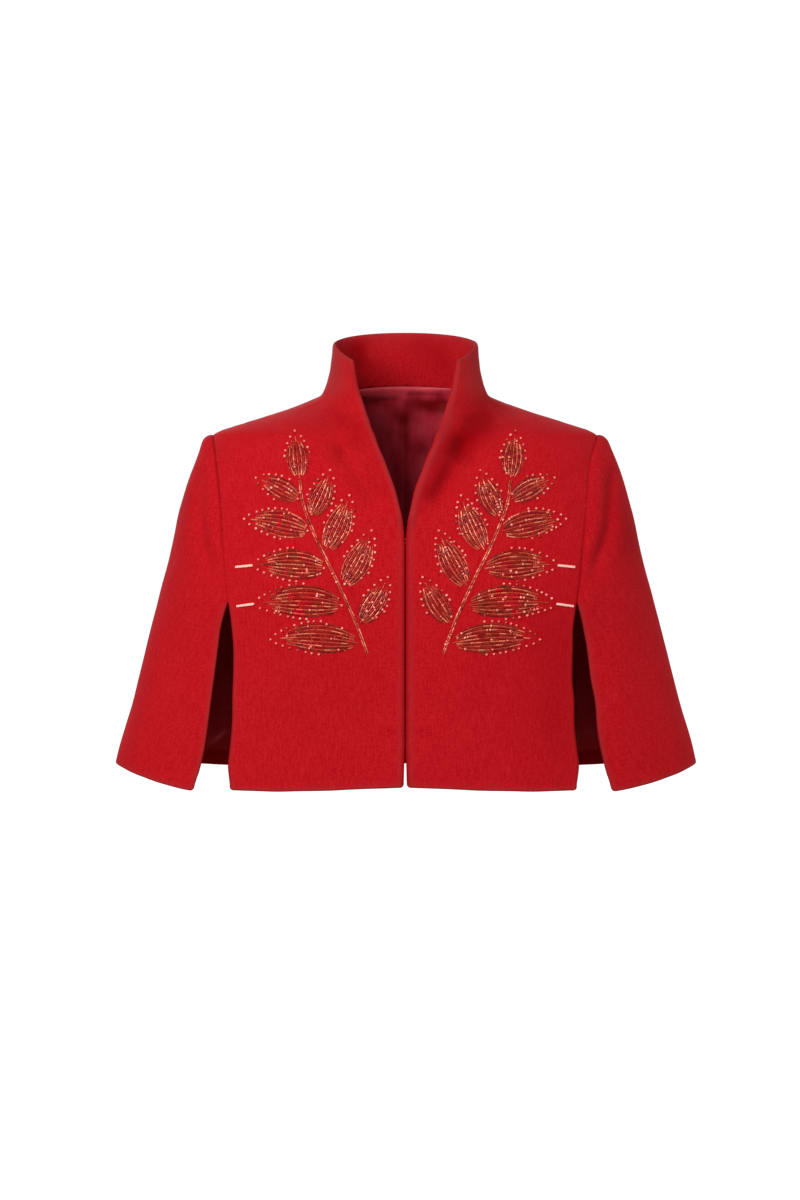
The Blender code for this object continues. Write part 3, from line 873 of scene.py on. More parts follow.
def shareSeams(front, back, sleeve):
    # the panels that meet in a seam get the same outward direction along it
    below = tipRow + 1
    frontSide = front["normals"][:, -1].copy()
    backSide = back["normals"][:, -1].copy()
    both = unit(frontSide + backSide)
    seamFront, seamBack = frontSide.copy(), backSide.copy()
    seamFront[:below] = seamBack[:below] = both[:below]
    armhole = slice(below, slitRow + 1)
    seamFront[armhole] += sleeve["normals"][: slitRow + 1 - below, 0]
    seamBack[below:] += sleeve["normals"][:, -1]
    for seam in (seamFront, seamBack):
        seam[:] = unit(seam)
        soft = seam.copy()
        for shift in (-2, -1, 1, 2):
            soft += np.roll(seam, shift, axis=0)
        seam[3:slitRow] = unit(soft)[3:slitRow]
    sleeveFirst = sleeve["normals"][:, 0].copy()
    sleeveFirst[: slitRow + 1 - below] = seamFront[armhole]
    steer(front, -1, seamFront)
    steer(back, -1, seamBack)
    steer(back, 0, seamBack * np.array([-1.0, 1.0, 1.0]))
    steer(sleeve, 0, sleeveFirst)
    steer(sleeve, -1, seamBack[below:])


def steer(panel, column, wanted):
    away = panel["fromStart"] if column == 0 else panel["fromEnd"]
    change = (wanted - panel["normals"][:, column])[:, None, :]
    panel["normals"] = unit(panel["normals"] + change * bell(away, bodyForm["steerReach"])[..., None])


def rollEdge(panel, roll):
    # turns the cloth in round an arc towards the edge of the V, and keeps the edge's line
    points, normals = panel["points"], panel["normals"]
    height = points[:, :1, 2]
    share = smoothStep(*frontPanel["rollFoot"], height)
    share = share * (1 - frontPanel["rollEase"] * smoothStep(*frontPanel["rollTop"], height))
    angle, radius, reach = roll["angle"] * share, roll["radius"], roll["reach"]
    edgeNormal = normals[:, frontPanel["rollColumn"], None]
    slope = np.abs(edgeNormal[..., 0] / edgeNormal[..., 1])
    straight = reach - radius * np.sin(angle) - slope * radius * (1 - np.cos(angle))
    room = np.maximum(reach - panel["fromStart"], 0.0)
    run = room / reach * (straight + radius * angle)
    bend = np.maximum(run - straight, 0.0) / radius
    aside = np.minimum(run, straight) + radius * np.sin(bend)
    at = int(np.argmax(panel["fromStart"][slitRow] > reach))
    inward = unit(points[:, at] - points[:, 0])[:, None, :]
    out = normals[:, at][:, None, :]
    moved = points + inward * (room - aside)[..., None] - out * (radius * (1 - np.cos(bend)))[..., None]
    turned = unit(normals * np.cos(bend)[..., None] - inward * np.sin(bend)[..., None])
    return makePanel(moved, panel["turn"], turned)


# how much further out, in mm, the photo has the armhole seams, the two edges of each slit and the
# sleeves' outline, which differ a little left and right
borderShifts = {
    "reach": 28.0,  # mm inside the border where the cloth still follows
    "leastSlope": 0.5,
    "seamReach": 14.0,  # the same where the sleeve is brought back to the front's side
    "belowSlit": 9.0,  # how far below the slit's top it is brought back
    "liftReach": 45.0,  # how far up the cloth follows the hem's lift
    "Left": {
        "height": (-22, -50, -95, -140, -189, -212, -240, -265, -292, -320, -350, -372),
        "front": (0, -4.8, -3.1, -4.6, -5.4, -5.4, -3.0, -3.1, -0.8, -2.0, -1.0, -3.6),
        "sleeve": (0, -4.8, -3.1, -4.6, -5.4, -4.5, -2.6, -2.7, -1.2, -2.7, -1.2, 0),
        "outline": (0, 0.8, -1.0, -1.4, -0.3, 0, 0.1, -0.2, -0.9, 0, 1.2, 1.9),
    },
    "Right": {
        "height": (-22, -50, -95, -125, -150, -189, -225, -260, -290, -320, -350, -372),
        "front": (0, 0, 0.8, 1.4, 0.6, 0.3, 0.8, 1.8, 3.0, 2.1, 2.4, 0.2),
        "sleeve": (0, 0, 0.8, 1.4, 0.6, 0.3, 2.6, 3.0, 3.2, 3.2, 4.0, 5.2),
        "outline": (0, -1.6, -1.6, -2.6, -2.5, -2.2, -2.3, -3.0, -3.7, -2.7, -1.4, -0.4),
    },
}


def slid(panel, away, border, column, shifts):
    # slides a border along its own rows and lets the cloth inside follow less and less
    across = unit(np.gradient(panel["points"], axis=1))
    height = panel["points"][:, border, 2]
    amount = readTable(shifts, column, height) / np.maximum(across[:, border, 0], borderShifts["leastSlope"])
    weight = bell(panel[away], borderShifts["reach"])
    return panel["points"] + across * (amount[:, None] * weight)[..., None]


def shiftBorders(front, sleeve, side):
    shifts = borderShifts[side]
    frontPoints = slid(front, "fromEnd", -1, "front", shifts)
    sleevePoints = slid(sleeve, "fromStart", 0, "sleeve", shifts)
    # the sleeve meets the front again along the seam, and less and less below the slit's top
    seamRows = slitRow - tipRow
    miss = np.zeros_like(sleevePoints[:, 0])
    miss[:seamRows] = frontPoints[tipRow + 1 : slitRow + 1, -1] - sleevePoints[:seamRows, 0]
    miss[seamRows:] = miss[seamRows - 1]
    miss *= bell(np.maximum(bodyForm["slit"] - levels[tipRow + 1 :], 0.0), borderShifts["belowSlit"])
    near = bell(sleeve["fromStart"], borderShifts["seamReach"])[..., None]
    sleevePoints = sleevePoints + miss[:, None, :] * near
    around = sleeve["fromStart"] / sleeve["fromStart"][:, -1:]
    sleevePoints[..., 0] += readTable(shifts, "outline", sleevePoints[..., 2]) * np.sin(np.pi * around) ** 2
    lift = readTable(frontPanel["hemLift"], "lift", frontPoints[..., 0])
    frontPoints[..., 2] += lift * bell(front["fromBottom"], borderShifts["liftReach"])
    return {**front, "points": frontPoints}, {**sleeve, "points": sleevePoints}


def softCorners(panel, corners):
    # rounds the hem's corners: near a corner, the square of cloth becomes a quarter of a disc
    radius = bodyForm["cornerRound"]
    across = unit(np.gradient(panel["points"], axis=1))
    down = unit(np.gradient(panel["points"], axis=0))
    points = panel["points"].copy()
    low = np.maximum(1 - panel["fromBottom"] / radius, 0.0)
    for away, turn in corners:
        near = np.maximum(1 - panel[away] / radius, 0.0)
        inward = radius * near * (1 - np.sqrt(1 - low**2 / 2))
        upward = radius * low * (1 - np.sqrt(1 - near**2 / 2))
        points += across * turn * inward[..., None] - down * upward[..., None]
    return {**panel, "points": points}


def roundedEdge(away, radius):
    inside = np.clip(1.0 - away / radius, 0.0, 1.0)
    return bodyForm["edgeFlat"] + (1.0 - bodyForm["edgeFlat"]) * np.sqrt(1.0 - inside**2)


def seamDip(away):
    return bodyForm["seamDip"] * bell(away, bodyForm["seamReach"])


def seamFade(side, z):
    high, low = bodyForm["seamFade" + side]
    return high + (low - high) * smoothStep(*bodyForm["seamFadeSpan"], -z)


def drawIn(points, gap):
    # each border moves in a hair, so that neighbours don't touch
    moved = points.copy()
    moved[:, 0] += unit(points[:, 1] - points[:, 0]) * gap
    moved[:, -1] += unit(points[:, -2] - points[:, -1]) * gap
    return moved


def makeObject(name, mesh, material):
    mesh.materials.append(material)
    return placed(name, mesh)


def sewShell(name, panel, outer, inner, material, marks, innerMarks=None):
    # a closed shell of cloth between two distances from the panel's middle surface
    points = drawIn(panel["points"], bodyForm["seamGap"])
    rows, columns = points.shape[:2]
    distances = [np.broadcast_to(distance, (rows, columns))[..., None] for distance in (outer, inner)]
    sides = [points + panel["normals"] * distance for distance in distances]
    vertices = np.concatenate([side.reshape(-1, 3) for side in sides]) * mm
    index = np.arange(rows * columns).reshape(rows, columns)
    outside = np.stack([index[:-1, :-1], index[:-1, 1:], index[1:, 1:], index[1:, :-1]], -1).reshape(-1, 4)
    under = rows * columns
    border = np.concatenate([index[0], index[1:, -1], index[-1, -2::-1], index[-2:0:-1, 0]])
    after = np.roll(border, -1)
    walls = np.stack([after, border, border + under, after + under], -1)
    faces = np.concatenate([outside, outside[:, ::-1] + under, walls])
    if panel["turn"] < 0:
        faces = faces[:, ::-1]
    mesh = bpy.data.meshes.new(name)
    mesh.from_pydata(vertices, [], faces)
    mesh.shade_smooth()
    middle = panel["fromStart"][:, -1:] / 2
    grain = np.stack([panel["fromStart"] - middle, -panel["fromTop"], np.zeros((rows, columns))], -1) * mm
    layer = mesh.attributes.new("grain", "FLOAT_VECTOR", "POINT")
    layer.data.foreach_set("vector", np.concatenate([grain, grain]).astype(np.float32).ravel())
    for markName in marks:
        bothSides = (marks[markName], (innerMarks or marks)[markName])
        values = np.stack([np.clip(np.broadcast_to(v, (rows, columns)), 0.0, 1.0) for v in bothSides])
        layer = mesh.attributes.new(markName, "FLOAT", "POINT")
        layer.data.foreach_set("value", values.astype(np.float32).ravel())
    return makeObject(name, mesh, material)


def borders(panel):
    return [panel[key] for key in ("fromStart", "fromEnd", "fromTop", "fromBottom")]


napSheenForm = {
    "hem": (0.85, 4.0),  # the paler nap and painted sheen beside a hem, share and reach, and the dark line of painted shade on its turn
    "hemShadeLine": (0.6, 0.8),
    # painted sheen on the collar's outer sides: share, and between which x and which heights it grows
    "collar": 0.8,
    "collarAcross": (46.0, 74.0),
    "collarUp": (8.0, 34.0),
}


def hemNapAndSheen(away):
    # worn nap and painted sheen beside a hem
    share, reach = napSheenForm["hem"]
    return share * bell(away, reach)


def hemShadeLine(away):
    # a dark line of painted shade where a hem turns
    share, reach = napSheenForm["hemShadeLine"]
    return share * bell(away, reach)


def collarSheen(x, z):
    # painted sheen on the sides of the collar
    return napSheenForm["collar"] * smoothStep(*napSheenForm["collarAcross"], x) * smoothStep(*napSheenForm["collarUp"], z)


def clothRelief(points):
    # the slight unevenness that all of the cloth has
    return sum(softWaves(points, *wave) for wave in bodyForm["relief"])


def slitShare(level):
    # 0 along a seam and 1 along the free edge below the slit's top
    lower, softness = bodyForm["slitFade"]
    return 1.0 - 1.0 / (1.0 + np.exp(-(level - bodyForm["slit"] + lower) / softness))


def sewFront(name, panel, side, material):
    form = frontPanel
    creases, hollows, nap = (form[key + side] for key in ("creases", "hollows", "nap"))
    panel = softCorners(panel, (("fromStart", 1), ("fromEnd", -1)))
    points = panel["points"]
    x, z = np.abs(points[..., 0]), points[..., 2]
    start, end, top, bottom = borders(panel)
    free, fade = slitShare(levels), seamFade(side, z)
    neck, line, slitLine = form["neckEdge"], form["edgeLine"], form["slitLine"]
    neckEdge = bell(start, neck["reach"]) / (1.0 + np.exp(-(z - neck["foot"]) / neck["fade"]))
    half = bodyForm["wall"] / 2 + neck["thicker"] * neckEdge
    rounded = roundedEdge(start, form["edgeRound"]) * roundedEdge(top, bodyForm["rimRound"])
    rounded *= roundedEdge(bottom, bodyForm["hemRound"])
    rounded *= 1.0 - free * (1.0 - roundedEdge(end, bodyForm["edgeRound"]))
    calm = 1 - bell(end, form["calm"]["seam"])
    calm *= 1 - form["calm"]["edgeShare"] * bell(start, form["calm"]["edge"])
    relief = clothRelief(points) + creaseHeight(creases, x, z) * calm
    relief += puckers(top, end, *bodyForm["seamPucker"]) * (levels >= bodyForm["slit"])
    relief += puckers(top, start, *form["edgePucker"]) + puckers(start, bottom, *form["hemPucker"])
    dip = seamDip(end) * (1.0 - free) * fade
    wide = 1.0 + nap["spread"] * bell(z - form["napWide"][0], form["napWide"][1])
    low = 1.0 - smoothStep(*form["napLow"], z)
    napPlace = nap["place"] * wide + nap["low"] * low
    seam = bell(end, bodyForm["seamLine"]) * (1.0 - free) * (top > 0) * fade
    # painted sheen with the worn nap beside the edges and on the collar; painted shade on the edge's turn, in
    # fold hollows, seams, and the hem's and slit's turns
    wearAndSheen = nap["share"] * (1 - form["napLowLoss"] * low) * bell(start - napPlace, nap["reach"] * wide)
    wearAndSheen += hemNapAndSheen(bottom) + hemNapAndSheen(end) * free + hemNapAndSheen(top) * (x < form["rimNapSheen"]) + collarSheen(x, z)
    paintedShade = line["share"] * bell(start, line["reach"] + line["lowReach"] * low)
    paintedShade += creaseHeight(hollows, x, z) + bodyForm["seamShade"] * seam + hemShadeLine(bottom)
    paintedShade += slitLine[0] * bell(end, slitLine[1]) * free
    marks = {"wearAndSheen": wearAndSheen, "paintedShade": paintedShade}
    return sewShell(name, panel, relief + half * rounded - dip, relief - half * rounded, material, marks)


def sewBack(name, panel, material):
    points = panel["points"]
    start, end, top, bottom = borders(panel)
    side = np.minimum(start, end)
    rounded = roundedEdge(top, bodyForm["rimRound"]) * roundedEdge(bottom, bodyForm["hemRound"])
    half = bodyForm["wall"] / 2
    creases = creaseHeight(backPanel["creases"], points[..., 0], points[..., 2])
    relief = clothRelief(points) + creases * (1 - bell(side, backPanel["calm"]))
    relief += puckers(top, side, *bodyForm["seamPucker"])
    relief += puckers(start, bottom, *backPanel["hemPucker"])
    outer, inner = relief + half * rounded - seamDip(side), relief - half * rounded
    # painted sheen with the nap along the hems; painted shade along the seams and the hem's turn
    marks = {
        "wearAndSheen": hemNapAndSheen(bottom) + hemNapAndSheen(top),
        "paintedShade": bodyForm["seamShade"] * bell(side, bodyForm["seamLine"]) + hemShadeLine(bottom),
    }
    return sewShell(name, panel, outer, inner, material, marks)


def sewSleeve(name, panel, side, material):
    form = sleevePanel
    panel = softCorners(panel, (("fromStart", 1),))
    points = panel["points"]
    x, y, z = np.abs(points[..., 0]), points[..., 1], points[..., 2]
    start, end, top, bottom = borders(panel)
    level = levels[tipRow + 1 :]
    free, fade = slitShare(level), seamFade(side, z)
    rounded = roundedEdge(bottom, bodyForm["hemRound"])
    rounded *= 1.0 - free * (1.0 - roundedEdge(start, bodyForm["edgeRound"]))
    half = bodyForm["wall"] / 2
    isFront = 1.0 / (1.0 + np.exp((y - form["frontEnd"][0]) / form["frontEnd"][1]))
    calm = (1 - bell(end, form["calm"][1])) * (1 - bell(start, form["calm"][0]))
    relief = clothRelief(points)
    relief += creaseHeight(form["frontCreases" + side], x, z) * isFront * calm
    relief += creaseHeight(form["backCreases"], x, z) * (1 - isFront) * calm
    relief += puckers(top, start, *form["frontPucker"]) * (level >= bodyForm["slit"])
    relief += puckers(top, end, *form["backPucker"]) + puckers(start, bottom, *form["hemPucker"])
    relief *= 1.0 - form["tipCalm"][0] * bell(top, form["tipCalm"][1])
    dip = seamDip(start) * (1.0 - free) * fade + seamDip(end)
    dip = np.minimum(dip + seamDip(top), bodyForm["seamDip"])
    seam = bell(start, bodyForm["seamLine"]) * (1.0 - free) * fade
    for away in (end, top):
        seam = np.maximum(seam, bell(away, bodyForm["seamLine"]))
    # painted sheen with the nap along the hem and free edge; painted shade in seams, on the hems' turns and
    # in fold hollows
    marks = {
        "wearAndSheen": hemNapAndSheen(bottom) + hemNapAndSheen(start) * free,
        "paintedShade": bodyForm["seamShade"] * seam + hemShadeLine(bottom) + hemShadeLine(start) * free
        + creaseHeight(form["hollows" + side], x, z) * isFront,
    }
    # inside, the wool lies in painted shade, save a paler painted turned hem
    turned = form["turnedHem"] * bell(bottom, napSheenForm["hemShadeLine"][1])
    innerMarks = {"wearAndSheen": turned, "paintedShade": 1 - turned}
    outer, inner = relief + half * rounded - dip, relief - half * rounded
    return sewShell(name, panel, outer, inner, material, marks, innerMarks)


def everyOther(first, last, step):
    return np.unique(np.concatenate([np.arange(first, last, step), [last]]))


def thinned(panel, firstRow, lastRow, firstColumn=0, rowStep=2):
    # a coarser grid of part of a panel, which keeps the borders
    rows = everyOther(firstRow, lastRow, rowStep)
    columns = everyOther(firstColumn, panel["points"].shape[1] - 1, 2)
    copy = {"turn": panel["turn"]}
    for key in ("points", "normals", "fromStart", "fromEnd", "fromTop", "fromBottom"):
        copy[key] = panel[key][rows][:, columns]
    copy["fromTop"] = copy["fromTop"] - copy["fromTop"][:1]
    copy["fromBottom"] = copy["fromBottom"] - copy["fromBottom"][-1:]
    return copy


collarFacing = {
    "wall": 1.2,
    "round": 1.2,
    "tuck": (0.7, 0.2),  # how far its inner side lies back at the rim and the V, the outer's share of that
    "tuckReach": (2.0, 2.5),
    "waves": (46.0, 0.6, 23),
    "waveShare": 0.25,
    "calm": (8.0, 10.0),  # how far below the rim waves and creases begin
    "pucker": (21.0, 0.3, 2.0),
    # the worn nap and painted sheen along the facing's rim: share and reach of each
    "rimNapSheen": ((0.5, 5.0), (0.35, 20.0)),
    "flat": (0.470, 0.062),
    "area": 0.0225,
    "creases": (
        (-44, 76, -16, 60, 9, 0.7), (10, 82, 26, 52, 10, -0.8), (-66, 52, -40, 46, 7, 0.5),
        (34, 70, 60, 62, 8, 0.6),
    ),
    # painted shade on the facing: from x, from z, to x, to z, reach, share
    "hollows": (
        (-64, 74, -40, 80, 9, 0.75), (-60, 60, -40, 66, 10, 0.5), (4, 86, 50, 72, 15, 0.4),
        (52, 80, 30, 50, 15, 0.25),
    ),
}


def sewCollarFacing(frontLeft, frontRight, back, material):
    form = collarFacing
    rows = np.arange(neckRow + 1)
    points, normals = (
        np.concatenate([frontRight[key][rows, :-1], back[key][rows], frontLeft[key][rows, -2::-1]], axis=1)
        for key in ("points", "normals")
    )
    panel = makePanel(points, 1, normals)
    x, y, z = (points[..., axis] for axis in range(3))
    start, end, top, bottom = borders(panel)
    side = np.minimum(start, end)
    depth = (bodyForm["wall"] + form["wall"]) / 2
    rounded = roundedEdge(side, form["round"]) * roundedEdge(top, form["round"])
    tuck = form["tuck"][0] * (bell(top, form["tuckReach"][0]) + bell(side, form["tuckReach"][1]))
    waveCalm, creaseCalm = (1 - np.exp(-top / reach) for reach in form["calm"])
    behind = y > 0
    relief = clothRelief(points) - form["waveShare"] * np.abs(softWaves(points, *form["waves"])) * waveCalm
    relief -= creaseHeight(form["creases"], x, z) * behind * creaseCalm
    relief -= puckers(start, bottom, *form["pucker"])
    half = form["wall"] / 2
    outer = -depth + relief + half * rounded + tuck * form["tuck"][1]
    inner = -depth + relief - half * rounded + tuck
    # painted sheen along the rim and painted shade in the facing's hollows, at the back
    marks = {
        "wearAndSheen": sum(share * bell(top, reach) for share, reach in form["rimNapSheen"]) * behind,
        "paintedShade": creaseHeight(form["hollows"], x, z) * behind,
    }
    return sewShell("collarFacing", panel, outer, inner, material, marks)


backLining = {
    "wall": 0.8,
    "hang": 1.8,  # how far the lining hangs clear of the back
    "waves": (44.0, 0.5, 31),
    "pressed": (0.7, 1.6),  # how much of its depth is left at the neck seam, and how far down that ends
    "bandHeight": 12.4,  # the lining's ease, folded under the facing
    "bandDepth": 3.2,
    "bandTurn": 0.8,
    "bandLower": 0.35,  # how much lower the band is past the pleat
    "bandThins": (0.8, 20, 50),  # how much shallower, and between which distances from the pleat
    "belowBand": (-0.6, 3.0),  # where the folds begin, from the band's lower edge
    "foldsOnBand": 0.25,
    "pleatPlace": 2.0,  # x of the pleat's edge, in the middle of the back
    "pleatWidth": 18.0,
    "pleatDepth": 3.4,
    "pleatTurn": 0.8,
    "seamHighlight": (0.45, 1.2, 1.3),  # painted highlight below the neck seam: share, place below the seam, reach
    # painted highlight on the folded band
    "bandHighlight": 0.4,
    "bandLine": (0.7, 0.8, 1.0),  # painted shadow under the band: share, place below the band, reach
    # painted shadow along the pleat's edge: share, reach
    "pleatLine": (0.85, 0.9),
    "sideShade": (0.8, 105.0, 150.0),  # the sides lie in the dark, as painted shade: share, between these distances
    "flat": (0.480, 0.400),
    "area": 0.160,
    # from x, from z, to x, to z, reach, depth: folds of the lining that show through the neck
    "folds": (
        (-3, -4, -3, -46, 1.7, 1.2), (-4, 9, -6, -6, 5, -2.6), (-24, 14, -19, -12, 8, 2.2),
        (-40, 22, -30, -36, 6, -1.4), (9, 28, 14, 6, 6, -2.2), (12, -2, 15, -30, 7, 2.8),
        (46, 12, 35, -20, 8, 4.6), (38, 34, 45, 16, 6, -2.6), (24, 12, 27, -22, 4, -1.6),
        (-14, -20, -26, -90, 6, 1.6), (20, -40, 14, -110, 7, 1.6), (-110, -40, -120, -330, 14, 1.6),
        (-60, -90, -66, -330, 12, 1.4), (70, -70, 76, -330, 13, 1.6), (130, -60, 140, -330, 14, 1.4),
    ),
    # from x, from z, to x, to z, reach, share: painted shade in the depths between them, and painted
    # highlights on the paler crests
    "hollows": (
        (4, 21, 54, 16, 8, 1.1), (38, 26, 52, 6, 6, 0.7), (-13, 14, 2, -2, 7, 0.75),
        (2, 14, 16, 4, 7, 0.4), (-3, 6, -2, -20, 3, 0.35), (-56, 22, -22, 24, 4, 0.8),
        (-56, 16, -46, -12, 5, 0.5), (18, -22, 22, -36, 5, 0.5), (-30, -30, -16, -70, 8, 0.35),
    ),
    "crests": (
        (-2.4, -16, -2.4, -40, 1.4, 0.5), (14, -4, 22, -12, 6, 0.35), (-31, 14, -22, -12, 6, 0.5),
        (-10, -14, -8, -30, 5, 0.3), (34, 2, 40, -12, 6, 0.3),
    ),
}


def liningDepth(wall):
    return (bodyForm["wall"] + wall) / 2 + bodyForm["liningGap"]


def sewBackLining(back, material):
    form = backLining
    panel = thinned(back, neckRow, rowAt(bodyForm["liningHem"]))
    points = panel["points"]
    x, z = points[..., 0], points[..., 2]
    start, end, top, _ = borders(panel)
    calm = 1 - bell(np.minimum(start, end), bodyForm["liningCalm"])
    folds = form["hang"] + creaseHeight(form["folds"], x, z) + softWaves(points, *form["waves"])
    edge, turn = form["pleatPlace"], form["pleatTurn"]
    pleat = form["pleatDepth"] * smoothStep(edge - form["pleatWidth"], edge - 1.0, x)
    pleat = pleat * (1 - smoothStep(edge - turn, edge + turn, x))
    pressed, reach = form["pressed"]
    under = pressed + (1 - pressed) * smoothStep(0.0, reach, top)
    bandHeight = form["bandHeight"] * (1 - form["bandLower"] * smoothStep(edge - 1.0, edge + 1.0, x))
    loss, near, far = form["bandThins"]
    bandDepth = form["bandDepth"] * (1 - loss * smoothStep(edge + near, edge + far, x))
    turn = form["bandTurn"]
    band = bandDepth * under * (1 - smoothStep(bandHeight - turn, bandHeight + turn, top))
    below = smoothStep(bandHeight + form["belowBand"][0], bandHeight + form["belowBand"][1], top)
    share = form["foldsOnBand"] + (1 - form["foldsOnBand"]) * below
    inward = np.maximum(folds, 0.0) * calm * share * under + band * calm + pleat * below
    depth = liningDepth(form["wall"]) + np.maximum(inward, 0.0)
    half = form["wall"] / 2
    # painted highlights on the band, below the seam and on the crests; painted shade in the depths, along the
    # pleat, under the band and at the sides
    bandTone = band / form["bandDepth"]
    share, place, reach = form["seamHighlight"]
    wearAndSheen = share * bell(top - place, reach) + form["bandHighlight"] * bandTone
    wearAndSheen = wearAndSheen + creaseHeight(form["crests"], x, z)
    share, reach = form["pleatLine"]
    paintedShade = creaseHeight(form["hollows"], x, z) * (1 - bandTone) + share * bell(x - edge, reach) * below
    share, place, reach = form["bandLine"]
    paintedShade += share * bell(top - bandHeight - place, reach) * (x < edge + 1)
    share, near, far = form["sideShade"]
    paintedShade += share * smoothStep(near, far, np.abs(x))
    marks = {"wearAndSheen": wearAndSheen, "paintedShade": paintedShade}
    return sewShell("backLining", panel, -depth + half, -depth - half, material, marks)


hemFacing = {
    "wall": 1.0,
    "lift": 0.2,  # how much nearer the back it lies than the lining
    "round": (0.8, 1.0),
    # painted shade over the whole band
    "shade": 0.9,
    "flat": (0.392, 0.018),
    "area": 0.0066,
}


def sewHemFacing(back, material):
    form = hemFacing
    panel = thinned(back, rowAt(bodyForm["liningHem"]), len(levels) - 1, rowStep=1)
    _, _, top, bottom = borders(panel)
    rounded = roundedEdge(top, form["round"][0]) * roundedEdge(bottom, form["round"][1])
    depth = liningDepth(form["wall"]) - form["lift"] - clothRelief(panel["points"])
    half = form["wall"] / 2
    # the band lies in painted shade
    marks = {"paintedShade": form["shade"]}
    return sewShell("hemFacingBack", panel, -depth + half * rounded, -depth - half * rounded, material, marks)


sleeveLining = {
    "wall": 0.8,
    "topLevel": -32.0,
    "hemInset": 17.0,
    "ease": 0.5,
    "waves": (52.0, 0.5, 41),
    "hemNapAndSheen": (0.12, 0.8, 1.0),  # painted sheen along the lining's lower edge: share, place above the hem, reach
    "flat": (0.310, 0.360),
    "area": 0.080,
    "folds": (
        (196, -110, 204, -330, 9, 1.6), (222, -90, 236, -340, 10, 1.4), (250, -160, 268, -340, 9, 1.3),
    ),
    # how much painted shade the satin has inside the slit, where it is darkest, and a painted highlight on a
    # pale crest near its hem
    "shade": 0.70,
    "hollows": ((190, -362, 236, -362, 12, 0.35),),
    "crestsRight": ((193, -336, 216, -350, 2.4, 0.95),),
    "crestsLeft": ((194, -353, 218, -353, 1.8, 0.75), (190, -342, 212, -336, 5, 0.3)),
}


def sewSleeveLining(name, sleeve, side, material):
    form = sleeveLining
    firstRow, lastRow = rowAt(form["topLevel"]), rowAt(bodyForm["hem"] + form["hemInset"])
    panel = thinned(sleeve, firstRow - tipRow - 1, lastRow - tipRow - 1, firstColumn=2)
    points = panel["points"]
    x, z = np.abs(points[..., 0]), points[..., 2]
    start, end, _, bottom = borders(panel)
    calm = 1 - bell(np.minimum(start, end), bodyForm["liningCalm"])
    folds = creaseHeight(form["folds"], x, z) * calm
    inward = np.maximum(folds + form["ease"] + softWaves(points, *form["waves"]), 0.0) * calm
    depth = liningDepth(form["wall"]) + inward
    half = form["wall"] / 2
    # painted highlights along the hem and on the crests, and painted shade over the rest, darkest in its
    # hollows
    share, place, reach = form["hemNapAndSheen"]
    wearAndSheen = share * bell(bottom - place, reach) + creaseHeight(form["crests" + side], x, z)
    paintedShade = form["shade"] + creaseHeight(form["hollows"], x, z)
    marks = {"wearAndSheen": wearAndSheen, "paintedShade": paintedShade * (1 - wearAndSheen)}
    return sewShell(name, panel, -depth + half, -depth - half, material, marks)


# beadwork: an ordinary leaf sprig on each front

sprig = {
    "seeds": {"Left": 71, "Right": 72},
    # the stem's points, from its foot to its tip: x, z on the left front
    "stem": ((38, -240), (50, -208), (68, -168), (88, -128), (102, -92), (106, -66)),
    "stemSteps": 120,
    "pathSteps": 40,  # the fineness of the curve between two of its points
    "stemHalf": 0.9,  # mm from the stem's middle to each of its two bead lines
    "stemRounds": 0.06,  # the share of round beads in them
    # where on the stem, side (1 is away from the front edge), length, width, angle from the stem,
    # curl, and the length of the long pale bugle at the tip
    "leaves": (
        (0.05, 1, 90, 28, 60, -22, 0), (0.15, -1, 54, 21, 58, 14, 0), (0.27, 1, 92, 30, 58, -20, 18),
        (0.37, -1, 62, 24, 58, 16, 0), (0.49, 1, 76, 28, 54, -18, 18), (0.58, -1, 60, 24, 56, 16, 0),
        (0.70, 1, 68, 25, 50, -16, 0), (0.78, -1, 50, 21, 50, 16, 0), (0.88, 1, 50, 20, 44, -14, 0),
        (0.99, -1, 48, 21, 0, 0, 0),
    ),
    "leafStart": 2.2,  # mm from the stem to a leaf's first bead
    "leafPoints": 61,
    "leafPower": 0.85,  # how full a leaf is near its ends
    "curlFrom": 0.15,  # where along the leaf it is turned by its angle alone
    "tipBar": 1.5,  # mm from a leaf's last point to its long bugle, and where its round bead begins and ends
    "tipRound": (1.0, 3.0),
    # a leaf's bead lines, a bright and a dark one by turns
    "lineSpacing": 2.05,  # mm between them at the leaf's widest
    "leastSpacing": {"rib": 0.4, "bright": 0.8, "dark": 1.2},  # they end where they would be closer
    "leastPoints": 6,
    "trim": 4,  # how many of a line's points may be left out at its end
    "startGap": 1.5,
    "brightLine": (0.14, "bugle"),  # the share of round beads in it, and its bugles
    "darkLine": (0.04, "darkBugle"),
    "seedShare": 0.10,
    "gap": 0.3,  # mm between beads
    "gapSpread": (0.6, 1.6),
    "lineEnd": 1.5,  # mm at a line's end that stay free, and by how much a bead may pass its end
    "overhang": 0.4,
    # the loose round beads beside a leaf's tip
    "dotStep": 6.5,
    "dotAside": 2.6,
    "dotsFrom": 0.42,  # where along the leaf they begin
    "dotFirst": (0.5, 0.9),  # in steps from the tip
    "dotSpread": (0.8, 1.3),
    # the beads themselves
    "bugleLength": 6.6,
    "bugleSpread": (0.8, 1.12),
    "bugleRadius": 0.58,
    "bugleThick": (0.92, 1.1),
    "seedRadius": 0.75,
    "roundRadius": 1.35,
    "roundThick": (0.88, 1.1),
    "roundTall": 1.9,  # a round bead's height in its radius
    "pinkRadius": 1.3,  # the long bugles'
    "pinkShare": 0.85,  # how many of the round beads are pink
    "leastBead": 0.2,
    "seat": (0.85, 0.8),  # how high bugles and round beads sit on the cloth, in their radius
    "sharpAngle": 50,
    "brightTone": (2.6, 2.0),
    "darkTone": (0.0, 0.22),
    "roundTone": (0.25, 0.7),
    "barTone": 0.9,
}


